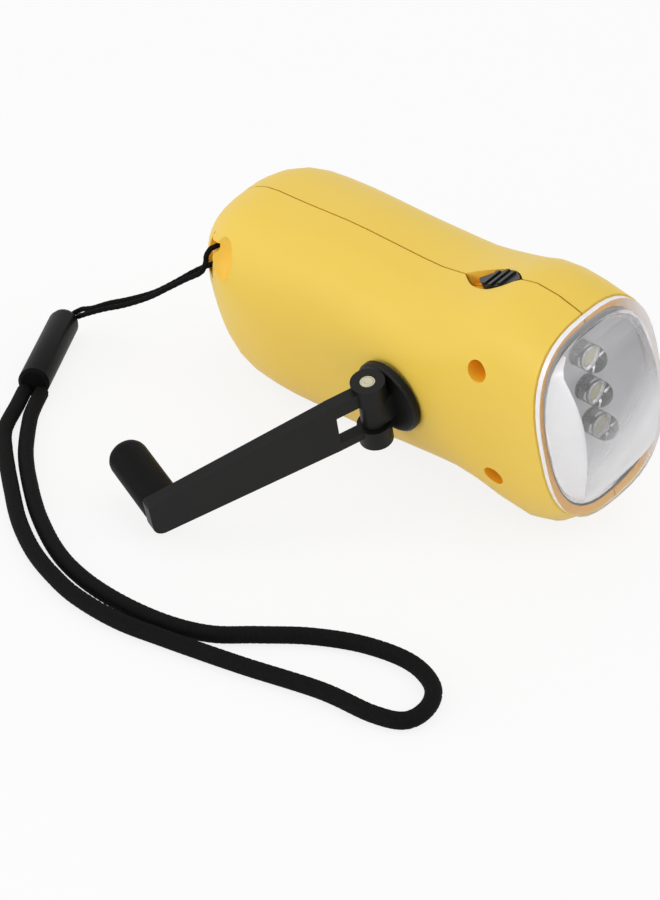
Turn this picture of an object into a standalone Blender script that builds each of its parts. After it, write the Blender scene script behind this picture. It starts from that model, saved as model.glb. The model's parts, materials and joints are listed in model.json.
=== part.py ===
"""Solar hand crank flashlight with a wrist strap.

Lengths are metres. The torch is modelled upright in its own frame: x runs from the tail to
the lens, -y is the crank side, z is up and the seam lies in the plane y = 0. One empty then
leans it over to the side that it lies on, so that the tail's underside rests on z = 0.
"""
import math

import bmesh
import bpy
import numpy as np
from mathutils import Vector

MM = 0.001

# Housing: overall sizes and its walls
BODY_LENGTH = 100 * MM
BODY_HEIGHT = 51.4 * MM
BODY_WIDTH = 36.6 * MM
WALL = 2 * MM
SEAM_GAP = 0.3 * MM
TAIL_LENGTH = 20.1 * MM
tail_power = 1.95
section_power = 2.7
station_shares = (0, 0.12, 0.28, 0.45, 0.62, 0.76, 0.9, 1)
top_shares = (0.758, 0.800, 0.821, 0.844, 0.844, 0.895, 1.0, 0.961)
bottom_shares = (-0.047, 0, 0, 0.008, 0.072, 0.105, -0.010, 0.111)
width_shares = (0.792, 0.907, 1.0, 0.951, 0.956, 0.962, 0.869, 0.842)

# Stance: how far the torch leans, how deep its rest lands are cut, where its origin lies
lean_degrees = 20
LAND_DEPTH = 0.35 * MM
rest_station_share = 0.28

# Clearances that every fit is worked out from
SLIP = 0.3 * MM
TURN = 0.25 * MM
PRESS = 0.1 * MM
OVERRUN = 1 * MM

# Crank: hub, hinge, arm and knob
CRANK_X = 0.653 * BODY_LENGTH
CRANK_Z = 0.5078 * BODY_HEIGHT
crank_turn_degrees = 5.43
arm_fold_degrees = -14.9
HUB_RADIUS = 7.4 * MM
HUB_THICKNESS = 1.5 * MM
HUB_EDGE = 0.4 * MM
HUB_FACE_Y = -19.4 * MM
HUB_SHAFT_RADIUS = 3 * MM
HUB_STUB_RADIUS = 2 * MM
PIN_STANDOFF = 3.5 * MM
PIN_RADIUS = 1.4 * MM
PIN_INSET = 0.1 * MM
KNUCKLE_RADIUS = 2.3 * MM
KNUCKLE_HALF = 2.9 * MM
LUG_RADIUS = 3.2 * MM
LUG_THICKNESS = 4.2 * MM
FORK_DEPTH = 7.6 * MM
ARM_REACH = 41.9 * MM
ARM_THICKNESS = 2.4 * MM
ARM_ROOT_TOP = 6.4 * MM
ARM_ROOT_FOOT = 4.9 * MM
ARM_END_TOP = 4.4 * MM
ARM_END_FOOT = 3.6 * MM
ARM_CORNER = 2.4 * MM
ARM_BEVEL = 0.5 * MM
KNOB_RADIUS = 3.75 * MM
KNOB_LENGTH = 16.6 * MM
KNOB_TIP_ROUND = 2.6 * MM
KNOB_FOOT_ROUND = 0.4 * MM
SPIGOT_RADIUS = 1.5 * MM
SPIGOT_LENGTH = 12 * MM

# Gear train: one module, teeth, and where each axle lies from the last
MODULE = 0.009728 * BODY_HEIGHT
pressure_degrees = 20
addendum_share = 0.85
dedendum_share = 1.15
BACKLASH = 0.09 * MM
drive_teeth = 44
wheel_1_teeth = 40
wheel_2_teeth = 30
pinion_teeth = 12
axle_1_degrees = 195
axle_2_degrees = 170
rotor_degrees = 195
GEAR_THICKNESS = 2 * MM
GEAR_SPACE = 1 * MM
DRIVE_GEAR_Y = -11 * MM
AXLE_RADIUS = 1 * MM
AXLE_SEAT = 2.2 * MM
AXLE_BOSS_RADIUS = 2.6 * MM
SCREW_SHANK_RADIUS = 1 * MM
SCREW_HEAD_HEIGHT = 1.3 * MM
HUB_SCREW_HEAD_RADIUS = 2.6 * MM
HUB_SCREW_LENGTH = 5 * MM

# Gearbox plate on three posts of the crank side shell
PLATE_THICKNESS = 1.2 * MM
PLATE_ROUND = 3 * MM
PLATE_LOW_Z = 0.1323 * BODY_HEIGHT
PLATE_HIGH_Z = 0.7471 * BODY_HEIGHT
PLATE_TAIL_X = 0.2 * BODY_LENGTH
PLATE_FRONT_X = 0.635 * BODY_LENGTH
POST_RADIUS = 2.5 * MM
post_x_shares = (0.48, 0.60, 0.33)
post_z_shares = (0.7, 0.185, 0.185)
PLATE_SCREW_LENGTH = 5 * MM
PLATE_SCREW_HEAD_RADIUS = 2 * MM

# Generator
MAGNET_RADIUS = 0.109 * BODY_HEIGHT
MAGNET_LENGTH = 6 * MM
STATOR_RADIUS = 0.1907 * BODY_HEIGHT
STATOR_WALL = 1 * MM
STATOR_LENGTH = 7.4 * MM
AIR_GAP = 0.5 * MM

# Battery of three button cells, level with the solar window
BAY_Z = 0.4202 * BODY_HEIGHT
CELL_RADIUS = 5.75 * MM
CELL_LENGTH = 5.3 * MM
CELL_TAIL_X = 0.43 * BODY_LENGTH
SLEEVE_WALL = 0.3 * MM
CRADLE_WIDTH = 2 * MM
CRADLE_HEIGHT = 3 * MM

# Case screws in deep holes
CASE_SCREW_X = 0.8705 * BODY_LENGTH
case_screw_z_shares = (0.784, 0.309)
CASE_BOSS_RADIUS = 3 * MM
CASE_HOLE_RADIUS = 2.05 * MM
CASE_HEAD_RADIUS = 1.8 * MM
CASE_HEAD_HEIGHT = 1.4 * MM
CASE_HEAD_SEAT_Y = -4 * MM
CASE_SCREW_LENGTH = 9 * MM

# Solar window on the far side
SOLAR_TAIL_X = 0.22 * BODY_LENGTH
SOLAR_LENGTH = 0.4 * BODY_LENGTH
SOLAR_HEIGHT = 0.467 * BODY_HEIGHT
SOLAR_LAND_Y = 16.4 * MM
SOLAR_LAND_MARGIN = 2 * MM
WINDOW_THICKNESS = 1 * MM
CELL_PANEL_THICKNESS = 0.6 * MM
SOLAR_PAD_Y = 12.4 * MM
SOLAR_ROUND = 1.5 * MM

# Slide switch in an eye-shaped recess, in a frame that follows the top seam
SWITCH_X = 0.788 * BODY_LENGTH
EYE_LENGTH = 16.4 * MM
EYE_WIDTH = 6.4 * MM
EYE_DEPTH = 1.5 * MM
KNOB_EYE_LENGTH = 12 * MM
KNOB_EYE_WIDTH = 5.2 * MM
KNOB_PROUD = 0.2 * MM
SWITCH_TRAVEL = 3 * MM
RIDGE_WIDTH = 0.9 * MM
RIDGE_HEIGHT = 0.4 * MM
RIDGE_PITCH = 2.2 * MM
RIDGE_INSET = 0.1 * MM
ridge_count = 3
STEM_WIDTH = 1.8 * MM
STEM_LENGTH = 3 * MM
SWITCH_PAD_DEPTH = 3.2 * MM
SWITCH_BODY_FRONT = 4 * MM
SWITCH_BODY_LENGTH = 10.5 * MM
SWITCH_BODY_WIDTH = 5 * MM
SWITCH_BODY_HEIGHT = 2.6 * MM
BOARD_FRONT = 1.8 * MM
BOARD_LENGTH = 15.5 * MM
BOARD_WIDTH = 16 * MM
BOARD_THICKNESS = 1.2 * MM
LEDGE_WIDTH = 2 * MM
LEDGE_HEIGHT = 1.5 * MM

# Strap bar on the tail's crank side, and the scoop beside it
BAR_X = 13 * MM
BAR_Y = -12 * MM
BAR_Z = 0.6031 * BODY_HEIGHT
bar_turn_degrees = 233
BAR_RADIUS = 1.4 * MM
STRAP_TUNNEL_RADIUS = 4.4 * MM
STRAP_TUNNEL_WIDTH = 4.2 * MM
STRAP_BOSS_RADIUS = 6.2 * MM
STRAP_BOSS_SET_BACK = 3.8 * MM
STRAP_BOSS_WIDTH = 9 * MM
SCOOP_X = 0.17 * BODY_LENGTH
SCOOP_Y = -18.1 * MM
SCOOP_Z = 0.6984 * BODY_HEIGHT
SCOOP_RADIUS = 6 * MM
scoop_stretch_shares = (0.8, 1, 1.1)

# Lens cover, reflector and lamps
FLANGE_THICKNESS = 1 * MM
FLANGE_INSET = 0.3 * MM
DOME_RISE = 5.3 * MM
DOME_HALF_WIDTH = 14.3 * MM
DOME_LOW_Z = 0.1946 * BODY_HEIGHT
DOME_HIGH_Z = 0.9047 * BODY_HEIGHT
DOME_CREASE_Y = 9.5 * MM
DOME_SKIN = 1.2 * MM
dome_peak_share = 0.6
crease_limit_share = 0.94
dome_rows = 22
REFLECTOR_WALL = 1 * MM
REFLECTOR_DEPTH = 2.8 * MM
reflector_share = 0.66
STEM_HALF_HEIGHT = 11.3 * MM
STEM_HALF_DEPTH = 3.3 * MM
LED_Z = 0.6031 * BODY_HEIGHT
LED_PITCH = 8 * MM
LED_RADIUS = 2.45 * MM
LED_LENGTH = 8.6 * MM
LED_PROUD = 6 * MM
LED_FLANGE_RADIUS = 2.7 * MM
LED_FLANGE_LENGTH = 1 * MM
LED_BOARD_THICKNESS = 1.2 * MM
LED_BOARD_HALF_WIDTH = 7 * MM
led_count = 3

# Cords and the sleeve that joins them
STRING_RADIUS = 0.55 * MM
WRIST_CORD_RADIUS = 1.5 * MM
CORD_SLEEVE_RADIUS = 3.1 * MM
CORD_SLEEVE_DOME = 2.6 * MM
CORD_SLEEVE_ROUND = 0.6 * MM
STRING_SPACING = 3 * MM
WRIST_CORD_SPACING = 8 * MM

# Routes by hand, in the stance: the wrist cord lies on the ground, out from the sleeve and back
GROUND_GAP = 0.05 * MM
SLEEVE_TOP = (-47.4, -24.9)
SLEEVE_FOOT = (-28.9, -47.4)
wrist_route = (
    (-27.4, -46.6), (-23.6, -51.2), (-19.7, -55.3), (-9.9, -63.7), (0.8, -70.7),
    (10.6, -76.1), (21.6, -80.6), (31.3, -82.4), (41.1, -82.1), (50.3, -80.0),
    (57.2, -76.2), (62.1, -70.1), (67.9, -63.2), (75.3, -57.8), (83.6, -55.4),
    (90.8, -57.3), (94.9, -62.2), (95.5, -67.9), (90.8, -70.9), (80.8, -73.0),
    (67.2, -78.5), (53.1, -83.5), (44.5, -86.1), (35.3, -86.9), (27.9, -86.1),
    (18.8, -83.8), (8.9, -79.5), (-1.3, -73.5), (-13.0, -66.1), (-19.9, -60.9),
    (-26.2, -53.2), (-30.0, -48.6),
)
string_route = (
    (-46.8, -23.6, 4.1), (-45.6, -22.4, 5.2), (-42.6, -22.0, 6.6), (-38.8, -20.9, 8.9),
    (-34.1, -19.5, 11.3), (-28.7, -18.0, 14.5), (-24.3, -16.7, 18.0), (-20.7, -15.4, 21.2),
    (-18.2, -14.2, 23.2), (-16.5, -13.1, 24.1), (-15.2, -11.7, 24.2), (-14.0, -11.0, 25.5),
    (-13.4, -11.2, 27.4), (-13.6, -12.4, 28.8), (-14.4, -14.1, 29.2), (-15.4, -15.6, 28.3),
    (-15.9, -16.1, 26.8), (-16.1, -16.1, 25.0), (-17.2, -16.3, 22.8), (-20.3, -17.3, 20.4),
    (-23.9, -18.3, 17.5), (-28.3, -19.6, 14.0), (-33.7, -21.1, 10.6), (-38.4, -22.5, 8.2),
    (-42.2, -23.4, 6.0), (-45.2, -23.7, 4.1),
)

X, Y, Z = Vector((1, 0, 0)), Vector((0, 1, 0)), Vector((0, 0, 1))
# The exact solver leaves open edges where a shell's many bosses cross its wall
SHELL_SOLVER = "MANIFOLD"


# Scene and materials


def clear_scene():
    for old in list(bpy.data.objects):
        bpy.data.objects.remove(old, do_unlink=True)


def material(name, colour, roughness, metallic=0.0):
    look = bpy.data.materials.new(name)
    look.use_nodes = True
    shader = look.node_tree.nodes["Principled BSDF"]
    shader.inputs["Base Color"].default_value = (*colour, 1)
    shader.inputs["Roughness"].default_value = roughness
    shader.inputs["Metallic"].default_value = metallic
    look.diffuse_color = (*colour, 1)
    return look


def frame(name, location=(0, 0, 0), rotation=(0, 0, 0), parent=None):
    """An empty that carries the pieces that move or lean together."""
    empty = bpy.data.objects.new(name, None)
    bpy.context.collection.objects.link(empty)
    empty.parent = parent
    empty.location = location
    empty.rotation_euler = rotation
    return empty


def solid(name, shape, look, parent, location=(0, 0, 0), rotation=(0, 0, 0)):
    """One piece from points and faces, its normals turned outwards."""
    points, faces = shape
    mesh = bpy.data.meshes.new(name)
    mesh.from_pydata([tuple(point) for point in points], [], [tuple(face) for face in faces])
    work = bmesh.new()
    work.from_mesh(mesh)
    bmesh.ops.recalc_face_normals(work, faces=work.faces)
    work.to_mesh(mesh)
    work.free()
    mesh.shade_smooth()
    mesh.set_sharp_from_angle(angle=math.radians(35))
    piece = bpy.data.objects.new(name, mesh)
    bpy.context.collection.objects.link(piece)
    piece.parent = parent
    piece.location = location
    piece.rotation_euler = rotation
    if look:
        mesh.materials.append(look)
    else:
        piece.hide_render = True
        piece.display_type = "WIRE"
    return piece


def combine(piece, operation, *tools, solver="EXACT"):
    for helper in tools:
        step = piece.modifiers.new(operation.title() + " " + helper.name, "BOOLEAN")
        step.operation = operation
        step.solver = solver
        step.object = helper


# Shapes, each as points and faces


def loft(rings):
    """A closed skin over rings of equal count, its two ends filled."""
    count = len(rings[0])
    points = [point for ring in rings for point in ring]
    faces = []
    for row in range(len(rings) - 1):
        for column in range(count):
            after = (column + 1) % count
            low, high = row * count, (row + 1) * count
            faces.append((low + column, low + after, high + after, high + column))
    faces.append(tuple(range(count))[::-1])
    faces.append(tuple(range(len(points) - count, len(points))))
    return points, faces


def prism(outline, low, high, axis):
    """An outline extruded along one axis. Its pairs run over the other two, in x, y, z order."""
    rings = []
    for level in (low, high):
        ring = []
        for pair in outline:
            point = list(pair)
            point.insert(axis, level)
            ring.append(point)
        rings.append(ring)
    return loft(rings)


def box(low, high):
    outline = [(low[0], low[1]), (high[0], low[1]), (high[0], high[1]), (low[0], high[1])]
    return prism(outline, low[2], high[2], 2)


def arc(centre, radius, start, end, count):
    """Points from one angle to another, both in degrees."""
    angles = np.radians(np.linspace(start, end, count))
    return [(centre[0] + radius * math.cos(a), centre[1] + radius * math.sin(a)) for a in angles]


def rounded_outline(low, high, radius, steps=5):
    corners = (
        ((high[0] - radius, high[1] - radius), 0),
        ((low[0] + radius, high[1] - radius), 90),
        ((low[0] + radius, low[1] + radius), 180),
        ((high[0] - radius, low[1] + radius), 270),
    )
    return [point for centre, start in corners for point in arc(centre, radius, start, start + 90, steps)]


def turned(profile, steps=28):
    """A profile of (radius, height) pairs turned about z. Where it leaves the axis it closes."""
    points, rings = [], []
    for radius, height in profile:
        count = 1 if radius == 0 else steps
        rings.append(range(len(points), len(points) + count))
        for turn in range(count):
            angle = 2 * math.pi * turn / steps
            points.append((radius * math.cos(angle), radius * math.sin(angle), height))
    faces = []
    pairs = list(zip(rings, rings[1:]))
    if profile[0][0] > 0:
        pairs.append((rings[-1], rings[0]))
    for low, high in pairs:
        for turn in range(steps):
            after = (turn + 1) % steps
            corners = (low[turn % len(low)], low[after % len(low)], high[after % len(high)], high[turn % len(high)])
            face = tuple(dict.fromkeys(corners))
            if len(face) > 2:
                faces.append(face)
    return points, faces


def pointing(direction):
    return Vector(direction).to_track_quat("Z", "Y").to_euler()


def rod(name, look, parent, start, end, radius, steps=24):
    start, end = Vector(start), Vector(end)
    length = (end - start).length
    shape = turned([(0, 0), (radius, 0), (radius, length), (0, length)], steps)
    return solid(name, shape, look, parent, start, pointing(end - start))


def tube(name, look, parent, start, end, outer, inner, steps=28):
    start, end = Vector(start), Vector(end)
    length = (end - start).length
    shape = turned([(inner, 0), (outer, 0), (outer, length), (inner, length)], steps)
    return solid(name, shape, look, parent, start, pointing(end - start))


def ball(radii, steps=24, rows=14):
    angles = np.linspace(-math.pi / 2, math.pi / 2, rows + 1)
    profile = [(math.cos(a) if abs(a) < math.pi / 2 else 0, math.sin(a)) for a in angles]
    points, faces = turned(profile, steps)
    return [tuple(value * radius for value, radius in zip(point, radii)) for point in points], faces


# Outline of the torch body


def smooth_through(places, values, at):
    """A curve through the values that doesn't overshoot them, read at some places."""
    places, values, at = (np.asarray(given, float) for given in (places, values, at))
    step = np.diff(places)
    slope = np.diff(values) / step
    tangent = np.zeros(len(values))
    for k in range(1, len(values) - 1):
        before, after = slope[k - 1], slope[k]
        if before * after > 0:
            weigh_before, weigh_after = 2 * step[k] + step[k - 1], step[k] + 2 * step[k - 1]
            tangent[k] = (weigh_before + weigh_after) / (weigh_before / before + weigh_after / after)
    for end, near in ((0, 1), (-1, -2)):
        first, second = (slope[0], slope[1]) if end == 0 else (slope[-1], slope[-2])
        width, further = (step[0], step[1]) if end == 0 else (step[-1], step[-2])
        guess = ((2 * width + further) * first - width * second) / (width + further)
        if guess * first <= 0:
            guess = 0
        elif first * second <= 0 and abs(guess) > 3 * abs(first):
            guess = 3 * first
        tangent[end] = guess
    spot = np.clip(np.searchsorted(places, at, side="right") - 1, 0, len(step) - 1)
    t = (at - places[spot]) / step[spot]
    rise = (1 + 2 * t) * (1 - t) ** 2 * values[spot] + t**2 * (3 - 2 * t) * values[spot + 1]
    lean = t * (1 - t) ** 2 * tangent[spot] + t**2 * (t - 1) * tangent[spot + 1]
    return rise + lean * step[spot]


def body_share(shares, x):
    return float(smooth_through(station_shares, shares, x / BODY_LENGTH))


def section(x, inset=0.0):
    """Half width, half height and middle height of the body at x, drawn in by the inset."""
    top = body_share(top_shares, x) * BODY_HEIGHT
    bottom = body_share(bottom_shares, x) * BODY_HEIGHT
    width = body_share(width_shares, x) * BODY_WIDTH / 2
    reach = min(max((x - inset) / (TAIL_LENGTH - inset), 0), 1)
    cap = (1 - (1 - reach) ** tail_power) ** (1 / tail_power)
    return (width - inset) * cap, ((top - bottom) / 2 - inset) * cap, (top + bottom) / 2


def section_ring(x, inset, angles):
    half_width, half_height, middle = section(x, inset)
    across, up = np.cos(angles), np.sin(angles)
    y = half_width * np.sign(across) * np.abs(across) ** (2 / section_power)
    z = middle + half_height * np.sign(up) * np.abs(up) ** (2 / section_power)
    return y, z


def stations(inset, front):
    """Places along the body, close together where the tail rounds off."""
    turn = np.linspace(math.radians(6), math.pi / 2, 9)
    tail = inset + (TAIL_LENGTH - inset) * (1 - np.cos(turn))
    return [*tail, *np.linspace(TAIL_LENGTH, front, 17)[1:]]


def body_core():
    """The body's solid shape, half a wall in from its outside, that trims what joins the walls."""
    angles = np.linspace(0, 2 * math.pi, 40, endpoint=False)
    rings = []
    for x in stations(WALL / 2, BODY_LENGTH - WALL):
        y, z = section_ring(x, WALL / 2, angles)
        rings.append([(x, *pair) for pair in zip(y, z)])
    return loft(rings)


def half_shell(side):
    """One side of the housing with its wall, from seam to seam: -1 is the crank side."""
    angles = np.linspace(math.pi / 2, -math.pi / 2, 23)
    columns = len(angles)
    skins = []
    for inset in (0, WALL):
        skin = []
        for x in stations(inset, BODY_LENGTH):
            y, z = section_ring(x, inset, angles)
            skin.append([(x, *pair) for pair in zip(side * np.maximum(y, 0), z)])
        skins.append(skin)
    rows = len(skins[0])
    points = [point for skin in skins for ring in skin for point in ring]

    def at(skin, row, column):
        return (skin * rows + row) * columns + column

    faces = []
    for row in range(rows - 1):
        for skin in (0, 1):
            for column in range(columns - 1):
                corner = at(skin, row, column), at(skin, row, column + 1)
                opposite = at(skin, row + 1, column + 1), at(skin, row + 1, column)
                faces.append(corner + opposite)
        for column in (0, columns - 1):
            outer = at(0, row, column), at(0, row + 1, column)
            inner = at(1, row + 1, column), at(1, row, column)
            faces.append(outer + inner)
    for column in range(columns - 1):
        outer = at(0, rows - 1, column), at(0, rows - 1, column + 1)
        inner = at(1, rows - 1, column + 1), at(1, rows - 1, column)
        faces.append(outer + inner)
    for skin in (0, 1):
        faces.append(tuple(at(skin, 0, column) for column in range(columns)))
    faces.append((at(0, 0, 0), at(1, 0, 0), at(1, 0, columns - 1), at(0, 0, columns - 1)))
    return points, faces


def stance():
    """Where the body's origin goes, so that the tail's underside rests at the world's origin."""
    lean = math.radians(lean_degrees)
    x = rest_station_share * BODY_LENGTH
    y, z = section_ring(x, 0, np.linspace(math.pi, 2 * math.pi, 2001))
    height = y * math.sin(lean) + z * math.cos(lean)
    low = int(np.argmin(height))
    sideways = y[low] * math.cos(lean) - z[low] * math.sin(lean)
    return (-x, -sideways, -height[low] - LAND_DEPTH), (lean, 0, 0)


# Gears


def involute(angle):
    return math.tan(angle) - angle


def gear_outline(teeth, phase):
    """Involute teeth about the origin, one of them pointing along the phase angle."""
    pitch = MODULE * teeth / 2
    pressure = math.radians(pressure_degrees)
    base = pitch * math.cos(pressure)
    tip, root = pitch + addendum_share * MODULE, pitch - dedendum_share * MODULE
    thick = math.pi / (2 * teeth) - BACKLASH / (2 * pitch) + involute(pressure)
    flank = [(root, thick)] if root < base else []
    for radius in (max(root, base), pitch, tip):
        flank.append((radius, thick - involute(math.acos(min(base / radius, 1)))))
    outline = []
    for tooth in range(teeth):
        middle = phase + 2 * math.pi * tooth / teeth
        for radius, half in flank:
            outline.append((radius * math.cos(middle - half), radius * math.sin(middle - half)))
        for radius, half in reversed(flank):
            outline.append((radius * math.cos(middle + half), radius * math.sin(middle + half)))
    return outline


def next_centre(centre, first_teeth, second_teeth, degrees):
    """Where the next gear's axis lies, and the angle towards it."""
    angle = math.radians(degrees)
    apart = MODULE * (first_teeth + second_teeth) / 2
    return (centre[0] + apart * math.cos(angle), centre[1] + apart * math.sin(angle)), angle


def gear(name, look, parent, centre, teeth, phase, low, high):
    shape = prism(gear_outline(teeth, phase), 0, high - low, 1)
    return solid(name, shape, look, parent, (centre[0], low, centre[1]))


# Places that several pieces share

CRANK_CENTRE = (CRANK_X, CRANK_Z)
AXLE_1, TO_AXLE_1 = next_centre(CRANK_CENTRE, drive_teeth, pinion_teeth, axle_1_degrees)
AXLE_2, TO_AXLE_2 = next_centre(AXLE_1, wheel_1_teeth, pinion_teeth, axle_2_degrees)
ROTOR, TO_ROTOR = next_centre(AXLE_2, wheel_2_teeth, pinion_teeth, rotor_degrees)
LAYERS = [DRIVE_GEAR_Y + level * (GEAR_THICKNESS + GEAR_SPACE) for level in range(3)]
PLATE_Y = LAYERS[2] + GEAR_THICKNESS + GEAR_SPACE - SLIP
STATOR_Y = PLATE_Y + PLATE_THICKNESS + SLIP
RECESS_FLOOR_Y = HUB_FACE_Y + HUB_THICKNESS + SLIP
OUTSIDE_Y = BODY_WIDTH
SCOOP_CENTRE = (SCOOP_X, SCOOP_Y, SCOOP_Z)
POSTS = [(x * BODY_LENGTH, z * BODY_HEIGHT) for x, z in zip(post_x_shares, post_z_shares)]
CASE_SCREWS = [(CASE_SCREW_X, share * BODY_HEIGHT) for share in case_screw_z_shares]
WINDOW_Y = SOLAR_LAND_Y - WINDOW_THICKNESS
PANEL_Y = WINDOW_Y - SLIP - CELL_PANEL_THICKNESS
POCKET_FLOOR_Y = PANEL_Y - SLIP
REFLECTOR_FLOOR_X = BODY_LENGTH - SLIP - REFLECTOR_DEPTH
LED_TIP_X = REFLECTOR_FLOOR_X + LED_PROUD
LED_BACK_X = LED_TIP_X - LED_LENGTH


def phase_against(angle_back, teeth):
    """The phase that turns a gap between teeth towards the gear it meshes with."""
    return angle_back + math.pi + math.pi / teeth


def switch_frame(torch):
    """A frame on the top seam, its x along the seam's slope."""
    near = TAIL_LENGTH / 10
    rise = (body_share(top_shares, SWITCH_X + near) - body_share(top_shares, SWITCH_X - near)) * BODY_HEIGHT
    height = body_share(top_shares, SWITCH_X) * BODY_HEIGHT
    slope = math.atan2(rise, 2 * near)
    return frame("switch_axis", (SWITCH_X, 0, height), (0, -slope, 0), torch)


def eye_outline(length, width, steps=7):
    """Two shallow arches from corner to corner."""
    run = np.linspace(-1, 1, 2 * steps + 1)
    upper = [(length / 2 * x, width / 2 * (1 - abs(x) ** 2)) for x in run[::-1]]
    lower = [(length / 2 * x, -width / 2 * (1 - abs(x) ** 2)) for x in run[1:-1]]
    return upper + lower


# Housing


def trimmed(name, core, maker, *given):
    """A boss or pad that ends inside the wall that carries it."""
    piece = maker(name, *given)
    combine(piece, "INTERSECT", core)
    return piece


def crank_side_shell(torch, switch, core, look):
    shell = solid("crank_side_shell", half_shell(-1), look, torch)
    hub_end = LAYERS[0] - GEAR_SPACE / 2
    inner = OVERRUN

    def inward(name, centre, end, radius):
        start = (centre[0], -OUTSIDE_Y, centre[1])
        return trimmed(name, core, rod, None, torch, start, (centre[0], end, centre[1]), radius)

    added = [
        inward("hub_pad", CRANK_CENTRE, RECESS_FLOOR_Y + WALL, HUB_RADIUS + SLIP + WALL),
        inward("hub_boss", CRANK_CENTRE, hub_end, HUB_SHAFT_RADIUS + TURN + WALL),
    ]
    for number, (centre, layer) in enumerate(zip((AXLE_1, AXLE_2, ROTOR), LAYERS), 1):
        added.append(inward(f"axle_boss_{number}", centre, layer - GEAR_SPACE / 2, AXLE_BOSS_RADIUS))
    for number, centre in enumerate(POSTS, 1):
        added.append(inward(f"plate_post_{number}", centre, PLATE_Y - SLIP, POST_RADIUS))
    for number, centre in enumerate(CASE_SCREWS, 1):
        added.append(inward(f"case_boss_{number}", centre, inner, CASE_BOSS_RADIUS))
    added.append(switch_pad("crank_side_switch_pad", switch, core, -1))
    added.append(strap_boss(torch))
    radii = [SCOOP_RADIUS * share + WALL for share in scoop_stretch_shares]
    added.append(trimmed("scoop_pad", core, solid, ball(radii), None, torch, SCOOP_CENTRE))
    combine(shell, "UNION", *added, solver=SHELL_SOLVER)

    def drilled(name, centre, start, end, radius):
        return rod(name, None, torch, (centre[0], start, centre[1]), (centre[0], end, centre[1]), radius)

    bore_end = hub_end + OVERRUN
    cuts = [
        drilled("hub_recess", CRANK_CENTRE, -OUTSIDE_Y, RECESS_FLOOR_Y, HUB_RADIUS + 2 * SLIP),
        drilled("hub_bore", CRANK_CENTRE, -OUTSIDE_Y, bore_end, HUB_SHAFT_RADIUS + TURN),
    ]
    for number, (centre, layer) in enumerate(zip((AXLE_1, AXLE_2, ROTOR), LAYERS), 1):
        end = layer - GEAR_SPACE / 2
        cuts.append(drilled(f"axle_seat_{number}", centre, end - AXLE_SEAT, end + OVERRUN, AXLE_RADIUS + TURN))
    for number, centre in enumerate(POSTS, 1):
        start = PLATE_Y - SLIP - PLATE_SCREW_LENGTH
        cuts.append(drilled(f"post_hole_{number}", centre, start, PLATE_Y, SCREW_SHANK_RADIUS + PRESS))
    for number, centre in enumerate(CASE_SCREWS, 1):
        seat = CASE_HEAD_SEAT_Y - PRESS
        cuts.append(drilled(f"case_hole_{number}", centre, -OUTSIDE_Y, seat, CASE_HOLE_RADIUS))
        cuts.append(drilled(f"case_screw_hole_{number}", centre, seat - OVERRUN, OVERRUN, SCREW_SHANK_RADIUS + TURN))
    cuts.extend(switch_cuts(switch))
    cuts.extend(strap_cuts(torch))
    cuts.append(ground_cut())
    cuts.append(seam_cut(torch, -1))
    combine(shell, "DIFFERENCE", *cuts, solver=SHELL_SOLVER)
    return shell


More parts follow.
